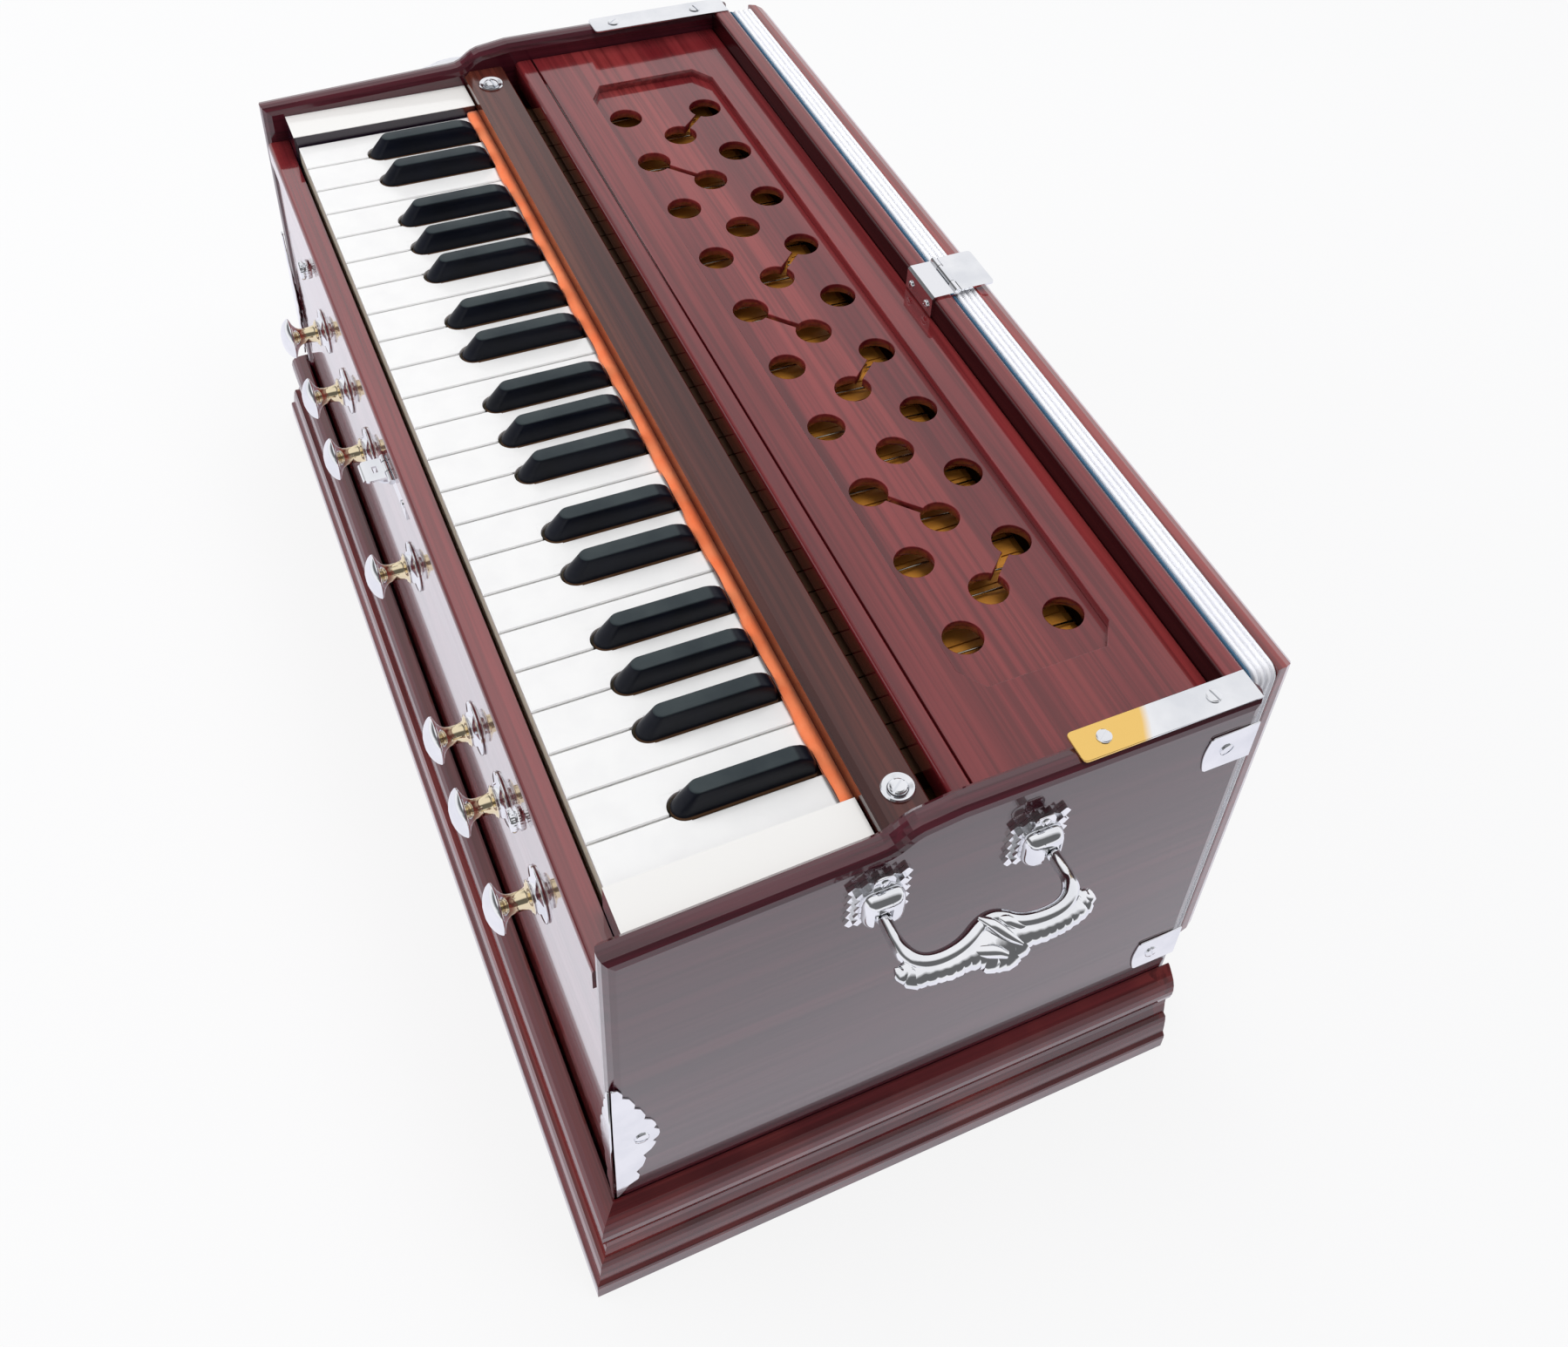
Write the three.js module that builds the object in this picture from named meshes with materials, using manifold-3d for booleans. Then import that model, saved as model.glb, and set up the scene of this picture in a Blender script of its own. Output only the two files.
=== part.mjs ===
// An Indian harmonium: a table reed organ with 39 keys, seven stops, a bellows board hinged
// along the back of the case, a carrying handle on each end and a latch on the rear rail.
//
// Millimetres, +Z up. The player sits on the -Y side, the bass end is at -X, and the origin
// lies on the floor under the middle of the case. Every piece that is separate on the real
// instrument is its own mesh. Where two pieces touch they keep a seat gap.

import * as THREE from 'three';
import { mergeVertices } from 'three/addons/utils/BufferGeometryUtils.js';
import Module from 'manifold-3d';

const wasm = await Module();
wasm.setup();

// Driving dimensions

const seatGap = 0.3; // left between two pieces that touch
const overrun = 6; // how far a cut runs past the face that it opens

// Keyboard, from the lowest C up to a D
const keyPitch = 22; // one white key to the next
const keyGap = 0.8; // between two keys
const playHeight = 233.5; // top of the white keys above the floor
const whiteDepth = 16; // a white key from top to underside
const whiteEdge = 0.5; // eased edge of a white key
const keyFront = 13.5; // front of the case to the front of the white keys
const whiteFrontLength = 33; // the wide front part, up to the black keys
const blackClearance = 1.4; // behind that part, before the black key
const keyShowLength = 94; // length of key in front of the felt
const blackRise = 10; // a black key above the white ones
const blackBottomWidth = 11;
const blackTopWidth = 7.4;
const blackFrontSlope = 9.8; // how far the front face leans back
const blackRearSlope = 11; // how far the rear end curves down
const leverDrop = 2.5; // wooden lever below the top of the white cap
const leverRelief = 2; // lever cut away underneath behind the pivot
const pivotBack = 150; // front of the case to the line the keys rock on
const tailClearance = 21.4; // end of the levers to the rear wall
const padLength = 18;
const padSetback = 3; // end of the lever to the pad
const pivotRadius = 4; // rounded top of the pivot rail
const keyTravelRoom = 9.5; // under the front of a key
const deckUnderPad = 21; // top of the white keys down to the pads' seat

// Case
const cheekWidth = 22;
const cheekClearance = 1;
const cheekRise = 6;
const endPanelThickness = 12;
const caseDepth = 277.5;
const endPanelEdge = 5; // rounded edge of the end panels
const endPanelFrontRise = 12.5; // top of the end panel over the keys, at the front
const endPanelMidRise = 17; // at the start of the step up
const endPanelStepStart = 107;
const endPanelStepLength = 17;
const endPanelStepRise = 25; // top of the panel after the step
const rearRise = 27.5; // top of the rear rail and of the panels' rear end
const boardThickness = 12; // bottom board
const frontBoardThickness = 10;
const frontBoardRecess = 1.5; // face of the board behind the rail above it
const frontRailDrop = 9; // top of the front rail under the keys
const frontRailHeight = 12.5;
const frontRailEdge = 2.5;
const deckThickness = 12;
const deckFrontThickness = 10;

// Plinth
const plinthHeight = 57.5;
const plinthProjection = 14;
// The moulding from top to bottom: outward shares of the projection, height shares
const plinthProfileShares = [
  [0.09, 1], [0.36, 0.94], [0.5, 0.9], [0.6, 0.85], [0.65, 0.79], [0.65, 0.73], [0.61, 0.67],
  [0.47, 0.645], [0.47, 0.6], [0.5, 0.53], [0.56, 0.46], [0.6, 0.41], [0.73, 0.4], [0.79, 0.35],
  [0.84, 0.27], [0.87, 0.2], [0.98, 0.17], [1, 0.14], [1, 0],
];

// Key strip, felt and top board
const feltClearance = 0.5; // black keys to the felt
const stripWidth = 22;
const stripRise = 14.5; // top of the strip over the keys
const stripClearance = 0.3; // strip over the keys
const stripBevel = 3;
const feltReach = 6; // felt in front of the strip
const feltThickness = 1.7;
const channelWidth = 8; // open channel behind the strip
const ridgeWidth = 9.4; // moulding along the front of the top board
const ridgeEdge = 2.4;
const ridgeGroove = 0.8;
const ridgeGrooveDepth = 4;
const topBoardRise = 15.5; // top board over the keys
const topBoardThickness = 10;
const battenWidth = 13; // under each end of the top board
const battenInset = 7; // ends of the battens inside the edges of the board

// The sunken field in the top board and its sound holes
const fieldDepth = 4.7;
const fieldLength = 469;
const fieldFrontMargin = 19.5; // in front of the field, from the groove of the ridge
const fieldBackMargin = 20.3; // behind the field, to the rear edge of the board
const fieldShift = -2; // middle of the field from the middle of the case
const fieldCornerLong = 12;
const fieldCornerShort = 8;
const soundHoleRadius = 8.9;
const soundHolePitch = 45.5;
const soundHoleMargin = 4.3; // outer rows to the front and back of the field
const soundHoleCount = 10; // in the front and back rows, one less between them
const soundSlotWidth = 3;
const rowShifts = [-2, 0.8, 2.2]; // middle of each row from the middle of the case
const holeSides = 16;

// Rear wall, bellows and bellows board
const rearWallThickness = 12;
const rearRailThickness = 10.3;
const rearRailEdge = 2.5;
const bellowsPackThickness = 12.5; // the folds pressed flat behind the case
const bellowsFoldCount = 5;
const bellowsFoldPull = 12; // how far a fold draws in
const bellowsCorner = 6;
const bellowsInset = 11; // ends of bellows and board inside the outer faces of the case
const bellowsTopDrop = 1; // under the top of the rear rail
const bellowsLift = 0.7; // over the plinth's top
const bellowsBoardThickness = 13;
const bellowsBoardEdge = 12; // rounded outer edge of the board
const boardHingeRadius = 2.5;
const boardHingeLength = 44;
const boardHingeInset = 110; // from the ends of the board
const hingeLeafThickness = 1.2;
const hingeLeafHeight = 22;
const hingePinRadius = 1.2;
const hingeClearance = 0.3;

// Rear latch
const latchWidth = 27;
const latchMiddle = 4;
const latchOverhang = 2.5; // hinge line behind the case
const latchPlate = 1.2;
const latchFlangeDrop = 11;
const latchBarrelRadius = 1.7;
const latchPinRadius = 0.8;
const latchLeafReach = 20.5;
const latchCorner = 2;

// Stop knobs
const stopPositions = [-180, -128, -79, 7, 110.5, 151, 201];
const stopDrop = 49.5; // under the front rail
const stopFlangeRadius = 12.5;
const stopLength = 23.2; // flange to the tip of the head
const stopShaftRadius = 3.5;
const stopShaftLength = 44;
// A stop from the flange out: radius shares of the flange, length shares
const stopProfileShares = [
  [1, 0], [1, 0.06], [0.82, 0.1], [0.6, 0.13], [0.6, 0.2], [0.42, 0.23], [0.37, 0.34],
  [0.4, 0.46], [0.6, 0.53], [0.78, 0.62], [0.82, 0.74], [0.76, 0.86], [0.55, 0.96],
];
const stopSides = 12;

// Handles
const handleDrop = 35; // under the top of the end panel
const handleMiddle = 141.5; // from the front of the case
const handleHalfSpan = 36.3; // middle to each arm
const handleReach = 27.5; // pivot to the middle of the grip
const handleBend = 9;
const handleRadius = 2.9;
const handleEyeRadius = 3.3;
const handleEyeWidth = 6;
const handlePinRadius = 1.4;
const gripHalfLength = 41;
const gripRadius = 10.6;
const gripThicknessShare = 0.8;
// Half of the grip from its tip to its middle: length shares, radius shares
const gripShares = [
  [0, 0.06], [0.06, 0.3], [0.14, 0.47], [0.3, 0.42], [0.5, 0.45], [0.66, 0.62], [0.8, 0.85],
  [0.92, 0.98],
];
const lugSize = 27;
const lugInset = 2; // middle of a lug inside its arm
const lugStep = 5; // each plate is smaller by this
const lugPlate = 1.9;
const lugTooth = 2;
const lugTeeth = 5; // on each side of a plate
const lugBossRadius = 11;
const lugBossTopRadius = 6.5;
const lugBossHeight = 8;

// Hasp under the front rail
const haspMiddle = -15;
const haspWidth = 14;
const haspReach = 11;
const haspPlate = 1.2;
const haspBaseWidth = 34;
const haspBaseHeight = 13;
const haspBaseShift = 9; // the base plate runs on towards the treble end
const haspBarrelRadius = 1.5;
const haspPinRadius = 0.7;
const haspSlotLength = 4.5;
const haspSlotWidth = 2.4;
const stapleRadius = 3.6;
const stapleWire = 1.1;
const stapleDrop = 8;

// Derived levels and stations

const whiteCount = 23;
const octaveWhites = 7;
const whiteUnderside = playHeight - whiteDepth;
const leverTop = playHeight - leverDrop;
const keyboardHalf = (whiteCount * keyPitch) / 2;
const caseInnerHalf = keyboardHalf + cheekClearance + cheekWidth;
const caseOuterHalf = caseInnerHalf + endPanelThickness;
const fitHalf = caseInnerHalf - seatGap; // pieces that fit between the end panels
const floorOfCase = boardThickness + seatGap;
const rearTop = playHeight + rearRise;
const railTop = playHeight - frontRailDrop;
const railBottom = railTop - frontRailHeight;
const stopHeight = railBottom - stopDrop;
const handleHeight = rearTop - handleDrop;
const frontBoardBack = frontBoardRecess + frontBoardThickness;
const whiteShoulder = keyFront + whiteFrontLength;
const blackFront = whiteShoulder + blackClearance;
const keyShowBack = keyFront + keyShowLength;
const stripFront = keyShowBack + feltClearance + feltReach;
const capBack = stripFront - stripClearance * 4;
const deckTop = playHeight - deckUnderPad;
const padSeat = deckTop + seatGap;
const deckFrontTop = whiteUnderside - keyTravelRoom;
const topBoardTop = playHeight + topBoardRise;
const topBoardUnderside = topBoardTop - topBoardThickness;
const ridgeFront = stripFront + stripWidth + channelWidth;
const topBoardFront = ridgeFront + ridgeWidth + ridgeGroove;
const rearFace = caseDepth - seatGap; // rear face of what stands between the panels
const rearRailFront = rearFace - rearRailThickness;
const rearWallFront = rearFace - rearWallThickness;
const tailBack = rearWallFront - tailClearance;
const topBoardBack = rearRailFront - seatGap;
const bellowsFront = caseDepth + seatGap;
const bellowsBack = bellowsFront + bellowsPackThickness;
const bellowsBoardFront = bellowsBack + seatGap;
const bellowsHalf = caseOuterHalf - bellowsInset;
const bellowsLow = plinthHeight + bellowsLift;
const bellowsHigh = rearTop - bellowsTopDrop;
const originBack = (caseDepth - plinthProjection) / 2;

// Materials

function material(color, roughness, metalness = 0) {
  return new THREE.MeshStandardMaterial({ color, roughness, metalness });
}

const lacquer = () => material(0x4a1a1c, 0.18);
const darkLacquer = () => material(0x2c0f10, 0.25);
const whiteCap = () => material(0xf4f0e6, 0.25);
const blackCap = () => material(0x2b3136, 0.3);
const deckWood = () => material(0x8a5f26, 0.6);
const chrome = () => material(0xdfe2e4, 0.1, 1);
const cloth = () => material(0x5a1414, 0.9);

// From three.js geometry to solids and back

function solid(geometry) {
  geometry.deleteAttribute('normal');
  geometry.deleteAttribute('uv');
  const merged = mergeVertices(geometry);
  const vertProperties = new Float32Array(merged.attributes.position.array);
  const triVerts = new Uint32Array(merged.index.array);
  return new wasm.Manifold(new wasm.Mesh({ numProp: 3, vertProperties, triVerts }));
}

const harmonium = new THREE.Group();
harmonium.position.y = -originBack;

function addPiece(name, body, pieceMaterial) {
  const { vertProperties, triVerts } = body.getMesh();
  const geometry = new THREE.BufferGeometry();
  geometry.setAttribute('position', new THREE.BufferAttribute(new Float32Array(vertProperties), 3));
  geometry.setIndex(new THREE.BufferAttribute(new Uint32Array(triVerts), 1));
  geometry.computeVertexNormals();
  const mesh = new THREE.Mesh(geometry, pieceMaterial);
  mesh.name = name;
  harmonium.add(mesh);
  return mesh;
}

function join(...bodies) {
  return bodies.reduce((whole, body) => whole.add(body));
}

// Block between two corners
function block(x0, x1, y0, y1, z0, z1) {
  const geometry = new THREE.BoxGeometry(x1 - x0, y1 - y0, z1 - z0);
  geometry.translate((x0 + x1) / 2, (y0 + y1) / 2, (z0 + z1) / 2);
  return solid(geometry);
}

function outline(points) {
  const distinct = points.filter(([a, b], i) => {
    const [c, d] = points[(i + 1) % points.length];
    return Math.hypot(a - c, b - d) > 0;
  });
  return new THREE.Shape(distinct.map(([a, b]) => new THREE.Vector2(a, b)));
}

const axisX = new THREE.Vector3(1, 0, 0);
const axisY = new THREE.Vector3(0, 1, 0);
const axisZ = new THREE.Vector3(0, 0, 1);

// A side outline in (y, z) carried along x, from x0 to x1. An edge rounds its two ends
function prismX(shape, x0, x1, edge = 0, steps = 3) {
  const geometry = new THREE.ExtrudeGeometry(shape, {
    depth: x1 - x0 - 2 * edge,
    bevelEnabled: edge > 0,
    bevelThickness: edge,
    bevelSize: edge,
    bevelOffset: -edge,
    bevelSegments: steps,
    curveSegments: 6,
  });
  geometry.translate(0, 0, x0 + edge);
  geometry.applyMatrix4(new THREE.Matrix4().makeBasis(axisY, axisZ, axisX));
  return solid(geometry);
}

// A front outline in (x, z) carried along y, from y0 to y1
function prismY(shape, y0, y1, edge = 0, steps = 3) {
  const geometry = new THREE.ExtrudeGeometry(shape, {
    depth: y1 - y0 - 2 * edge,
    bevelEnabled: edge > 0,
    bevelThickness: edge,
    bevelSize: edge,
    bevelOffset: -edge,
    bevelSegments: steps,
    curveSegments: 4,
  });
  geometry.translate(0, 0, edge - y1);
  geometry.applyMatrix4(new THREE.Matrix4().makeBasis(axisX, axisZ, axisY.clone().negate()));
  return solid(geometry);
}

// A plan outline in (x, y) raised along z, from z0 to z1
function prismZ(shape, z0, z1, edge = 0, steps = 1) {
  const geometry = new THREE.ExtrudeGeometry(shape, {
    depth: z1 - z0 - 2 * edge,
    bevelEnabled: edge > 0,
    bevelThickness: edge,
    bevelSize: edge,
    bevelOffset: -edge,
    bevelSegments: steps,
    curveSegments: 4,
  });
  geometry.translate(0, 0, z0 + edge);
  return solid(geometry);
}

// Round bar between two points
function bar(from, to, radius, sides = 12) {
  const start = new THREE.Vector3(...from);
  const along = new THREE.Vector3(...to).sub(start);
  const geometry = new THREE.CylinderGeometry(radius, radius, along.length(), sides);
  const turn = new THREE.Quaternion().setFromUnitVectors(axisY, along.clone().normalize());
  geometry.applyQuaternion(turn);
  geometry.translate(...start.addScaledVector(along, 0.5).toArray());
  return solid(geometry);
}

// Rectangle with rounded corners, as an outline
function roundedRectangle(a0, a1, b0, b1, radius) {
  const shape = new THREE.Shape();
  shape.moveTo(a0 + radius, b0);
  shape.lineTo(a1 - radius, b0);
  shape.quadraticCurveTo(a1, b0, a1, b0 + radius);
  shape.lineTo(a1, b1 - radius);
  shape.quadraticCurveTo(a1, b1, a1 - radius, b1);
  shape.lineTo(a0 + radius, b1);
  shape.quadraticCurveTo(a0, b1, a0, b1 - radius);
  shape.lineTo(a0, b0 + radius);
  shape.quadraticCurveTo(a0, b0, a0 + radius, b0);
  return shape;
}

// Plinth: the moulding is mitred where two profiles cross, and the case stands inside it

function makePlinth() {
  const profile = plinthProfileShares.map(([out, up]) => [out * plinthProjection, up * plinthHeight]);
  const sideOutline = [...profile.map(([out, z]) => [-out, z]), [caseDepth, 0], [caseDepth, plinthHeight]];
  const treble = profile.map(([out, z]) => [caseOuterHalf + out, z]);
  const bass = profile.map(([out, z]) => [-caseOuterHalf - out, z]).reverse();
  const reach = caseOuterHalf + plinthProjection + overrun;
  const alongFront = prismX(outline(sideOutline.reverse()), -reach, reach);
  const alongEnds = prismY(outline([...treble, ...bass].reverse()), -plinthProjection - overrun, caseDepth);
  const room = block(
    -caseOuterHalf - seatGap, caseOuterHalf + seatGap,
    -seatGap, caseDepth + overrun,
    boardThickness, plinthHeight + overrun,
  );
  return alongFront.intersect(alongEnds).subtract(room);
}

addPiece('plinth', makePlinth(), lacquer());

// End panels, each with its cheek block and the two lugs of its handle

function endPanelOutline() {
  const shape = new THREE.Shape();
  const frontTop = playHeight + endPanelFrontRise;
  const midTop = playHeight + endPanelMidRise;
  const stepTop = playHeight + endPanelStepRise;
  const stepEnd = endPanelStepStart + endPanelStepLength;
  const pull = endPanelStepLength / 2;
  shape.moveTo(0, floorOfCase);
  shape.lineTo(caseDepth, floorOfCase);
  shape.lineTo(caseDepth, rearTop);
  shape.lineTo(stepEnd + endPanelStepLength, rearTop);
  shape.lineTo(stepEnd, stepTop);
  shape.bezierCurveTo(
    stepEnd - pull, stepTop - endPanelEdge / 2,
    endPanelStepStart + pull, midTop,
    endPanelStepStart, midTop,
  );
  shape.lineTo(0, frontTop);
  return shape;
}

function toothedSquare(size) {
  const points = [];
  const half = size / 2;
  const step = size / lugTeeth;
  for (let side = 0; side < 4; side += 1) {
    const turn = (side * Math.PI) / 2;
    for (let tooth = 0; tooth < lugTeeth; tooth += 1) {
      const along = -half + tooth * step;
      for (const [a, b] of [[along, half - lugTooth], [along + step / 2, half]]) {
        points.push([a * Math.cos(turn) + b * Math.sin(turn), -a * Math.sin(turn) + b * Math.cos(turn)]);
      }
    }
  }
  return points.reverse();
}

const handlePivotX = caseOuterHalf + 2 * lugPlate + handleEyeRadius + hingeClearance;

// One lug: two toothed plates, a domed boss slotted for the arm, and the pivot pin
function makeLug(side) {
  const y = handleMiddle + side * handleHalfSpan;
  const middle = y - side * lugInset;
  const plates = [0, 1].map((level) => {
    const points = toothedSquare(lugSize - level * lugStep);
    const placed = points.map(([a, b]) => [middle + a, handleHeight + b]);
    const start = level ? caseOuterHalf + lugPlate / 2 : caseOuterHalf - lugPlate;
    return prismX(outline(placed), start, caseOuterHalf + lugPlate * (level + 1));
  });
  const dome = new THREE.CylinderGeometry(lugBossTopRadius, lugBossRadius, lugBossHeight, 4);
  dome.rotateY(Math.PI / 4);
  dome.rotateZ(-Math.PI / 2);
  dome.translate(caseOuterHalf + lugPlate + lugBossHeight / 2, middle, handleHeight);
  const slotHalf = handleEyeWidth / 2 + hingeClearance;
  const slotRoom = handleEyeRadius + hingeClearance;
  const slot = block(
    caseOuterHalf + lugPlate * 2, handlePivotX + lugBossHeight,
    y - slotHalf, y + slotHalf,
    handleHeight - lugBossRadius, handleHeight + slotRoom,
  );
  const reach = slotHalf + handlePinRadius;
  const pin = bar(
    [handlePivotX, y - reach, handleHeight], [handlePivotX, y + reach, handleHeight], handlePinRadius,
  );
  return join(plates[0], plates[1], solid(dome)).subtract(slot).add(pin);
}

function makeEndPanel() {
  const panel = prismX(endPanelOutline(), caseInnerHalf, caseOuterHalf, endPanelEdge);
  const cheek = block(
    keyboardHalf + cheekClearance, caseInnerHalf + endPanelEdge,
    frontBoardBack + seatGap, stripFront - seatGap * 3,
    deckFrontTop + seatGap, playHeight + cheekRise,
  );
  return join(panel, cheek, makeLug(-1), makeLug(1));
}

const endPanel = makeEndPanel();
addPiece('treble_end_panel', endPanel, lacquer());
addPiece('bass_end_panel', endPanel.mirror([1, 0, 0]), lacquer());

// Handles: an eye at each end turns on the pin of a lug, and the grip swells to its middle

function makeHandle() {
  const armX = handlePivotX + handleReach;
  const spread = (side) => handleMiddle + side * handleHalfSpan;
  const route = new THREE.CurvePath();
  const corner = (a, b, c) => route.add(new THREE.QuadraticBezierCurve3(a, b, c));
  const at = (x, y) => new THREE.Vector3(x, y, handleHeight);
  const start = handlePivotX + handlePinRadius + hingeClearance * 2;
  route.add(new THREE.LineCurve3(at(start, spread(-1)), at(armX - handleBend, spread(-1))));
  corner(at(armX - handleBend, spread(-1)), at(armX, spread(-1)), at(armX, spread(-1) + handleBend));
  route.add(new THREE.LineCurve3(at(armX, spread(-1) + handleBend), at(armX, spread(1) - handleBend)));
  corner(at(armX, spread(1) - handleBend), at(armX, spread(1)), at(armX - handleBend, spread(1)));
  route.add(new THREE.LineCurve3(at(armX - handleBend, spread(1)), at(start, spread(1))));
  const section = new THREE.Shape();
  section.absarc(0, 0, handleRadius, 0, Math.PI * 2);
  const bail = new THREE.ExtrudeGeometry(section, {
    extrudePath: route,
    steps: 24,
    curveSegments: 4,
    bevelEnabled: false,
  });
  const half = gripShares.map(([along, out]) => [(along - 1) * gripHalfLength, out * gripRadius]);
  const otherHalf = half.map(([along, out]) => [-along, out]).reverse();
  const profile = [...half, [0, gripRadius], ...otherHalf];
  const lathed = [[-gripHalfLength, 0], ...profile, [gripHalfLength, 0]];
  const grip = new THREE.LatheGeometry(lathed.map(([along, out]) => new THREE.Vector2(out, along)), 10);
  grip.scale(1, 1, gripThicknessShare);
  grip.translate(armX, handleMiddle, handleHeight);
  let body = solid(bail).add(solid(grip));
  for (const side of [-1, 1]) {
    const [y0, y1] = [-1, 1].map((end) => spread(side) + (end * handleEyeWidth) / 2);
    const eye = bar([handlePivotX, y0, handleHeight], [handlePivotX, y1, handleHeight], handleEyeRadius);
    const bore = bar(
      [handlePivotX, y0 - overrun, handleHeight], [handlePivotX, y1 + overrun, handleHeight],
      handlePinRadius + hingeClearance,
    );
    body = body.add(eye).subtract(bore);
  }
  return body;
}

const handle = makeHandle();
addPiece('treble_handle', handle, chrome());
addPiece('bass_handle', handle.mirror([1, 0, 0]), chrome());

// Front board under its rail, bored for the stops, with the hasp's base and staple

const haspAxisY = frontBoardRecess - haspPlate - haspBarrelRadius;
const haspAxisZ = railBottom - haspBarrelRadius - hingeClearance * 2;
const haspKnuckle = haspWidth / 4;

function makeFrontBoard() {
  const shape = new THREE.Shape();
  shape.moveTo(frontBoardRecess, floorOfCase);
  shape.lineTo(frontBoardBack, floorOfCase);
  shape.lineTo(frontBoardBack, railTop);
  shape.lineTo(frontRailEdge, railTop);
  shape.quadraticCurveTo(0, railTop, 0, railTop - frontRailEdge);
  shape.lineTo(0, railBottom);
  shape.lineTo(frontBoardRecess, railBottom);
  let body = prismX(shape, -fitHalf, fitHalf);
  const baseX = haspMiddle + haspBaseShift;
  const plate = block(
    baseX - haspBaseWidth / 2, baseX + haspBaseWidth / 2,
    frontBoardRecess - haspPlate, frontBoardRecess + haspPlate,
    railBottom - haspBaseHeight, railBottom - seatGap,
  );
  const half = haspWidth / 2 + haspKnuckle;
  body = join(body, plate);
  for (const side of [-1, 1]) {
    const outer = haspMiddle + side * half;
    const inner = haspMiddle + side * (haspWidth / 2 - haspKnuckle + hingeClearance);
    body = body.add(bar([outer, haspAxisY, haspAxisZ], [inner, haspAxisY, haspAxisZ], haspBarrelRadius));
    const web = block(
      Math.min(outer, inner), Math.max(outer, inner),
      haspAxisY, frontBoardRecess,
      haspAxisZ - haspPlate / 2, haspAxisZ + haspPlate / 2,
    );
    body = body.add(web);
  }
  body = body.add(bar(
    [haspMiddle - half, haspAxisY, haspAxisZ], [haspMiddle + half, haspAxisY, haspAxisZ], haspPinRadius,
  ));
  const loop = new THREE.CatmullRomCurve3([0, 1, 2, 3, 4].map((step) => {
    const angle = (step * Math.PI) / 4;
    return new THREE.Vector3(
      haspMiddle + stapleRadius * Math.cos(angle),
      frontBoardRecess - 2 * stapleRadius * Math.sin(angle),
      railBottom - stapleDrop,
    );
  }));
  const wire = new THREE.Shape();
  wire.absarc(0, 0, stapleWire, 0, Math.PI * 2);
  const staple = new THREE.ExtrudeGeometry(wire, {
    extrudePath: loop, steps: 10, curveSegments: 3, bevelEnabled: false,
  });
  body = body.add(solid(staple));
  for (const x of stopPositions) {
    const bore = stopShaftRadius + seatGap;
    body = body.subtract(bar([x, -overrun, stopHeight], [x, frontBoardBack + overrun, stopHeight], bore, 16));
  }
  return body;
}

addPiece('front_board', makeFrontBoard(), lacquer());

// Hasp leaf, standing out from its hinge, with a slot for the staple

function makeHaspLeaf() {
  const half = haspWidth / 2;
  const [x0, x1] = [haspMiddle - half, haspMiddle + half];
  const tip = haspAxisY - haspReach;
  const plan = roundedRectangle(x0, x1, tip, haspAxisY, haspBarrelRadius);
  const bottom = haspAxisZ - haspPlate / 2;
  const leaf = prismZ(plan, bottom, bottom + haspPlate);
  const knuckleHalf = half - haspKnuckle - hingeClearance;
  const notchDepth = haspBarrelRadius + hingeClearance;
  let body = leaf;
  for (const side of [-1, 1]) {
    const inner = haspMiddle + side * knuckleHalf;
    const outer = haspMiddle + side * (half + overrun);
    body = body.subtract(block(
      Math.min(inner, outer), Math.max(inner, outer),
      haspAxisY - notchDepth, haspAxisY + overrun,
      bottom - overrun, bottom + overrun,
    ));
  }
  const middle = tip + haspReach / 2;
  body = body.subtract(block(
    haspMiddle - haspSlotLength / 2, haspMiddle + haspSlotLength / 2,
    middle - haspSlotWidth / 2, middle + haspSlotWidth / 2,
    bottom - overrun, bottom + overrun,
  ));
  const lip = bar([x0 + haspPlate, tip, bottom], [x1 - haspPlate, tip, bottom], haspPlate);
  const ends = [haspMiddle - knuckleHalf, haspMiddle + knuckleHalf];
  const knuckle = bar([ends[0], haspAxisY, haspAxisZ], [ends[1], haspAxisY, haspAxisZ], haspBarrelRadius);
  const bore = bar(
    [ends[0] - overrun, haspAxisY, haspAxisZ], [ends[1] + overrun, haspAxisY, haspAxisZ],
    haspPinRadius + hingeClearance,
  );
  return join(body, lip, knuckle).subtract(bore);
}

addPiece('hasp_leaf', makeHaspLeaf(), chrome());

// Reed deck: key bed in front, a rounded pivot rail, and the deck that the pads close on

function makeDeck() {
  const front = frontBoardBack + seatGap;
  const back = rearWallFront - seatGap;
  const railSummit = whiteUnderside - seatGap;
  const shape = new THREE.Shape();
  shape.moveTo(front, deckFrontTop - deckFrontThickness);
  shape.lineTo(pivotBack - pivotRadius, deckFrontTop - deckFrontThickness);
  shape.lineTo(pivotBack + pivotRadius, deckTop - deckThickness);
  shape.lineTo(back, deckTop - deckThickness);
  shape.lineTo(back, deckTop);
  shape.lineTo(pivotBack + pivotRadius, deckTop);
  shape.lineTo(pivotBack + pivotRadius, railSummit - pivotRadius);
  shape.absarc(pivotBack, railSummit - pivotRadius, pivotRadius, 0, Math.PI);
  shape.lineTo(pivotBack - pivotRadius, deckFrontTop);
  shape.lineTo(front, deckFrontTop);
  return prismX(shape, -fitHalf, fitHalf);
}

addPiece('reed_deck', makeDeck(), deckWood());

// Keys: a wooden lever that rocks on the pivot rail, with a pad under its tail

// Slots: the octave's first five semitones share three white keys, the other seven share four
function slotOf(semitone) {
  const lowCount = 5;
  const highCount = 7;
  if (semitone < lowCount) {
    const width = (3 * keyPitch) / lowCount;
    return [semitone * width, (semitone + 1) * width];
  }
  const width = (4 * keyPitch) / highCount;
  const start = 3 * keyPitch + (semitone - lowCount) * width;
  return [start, start + width];
}

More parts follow.
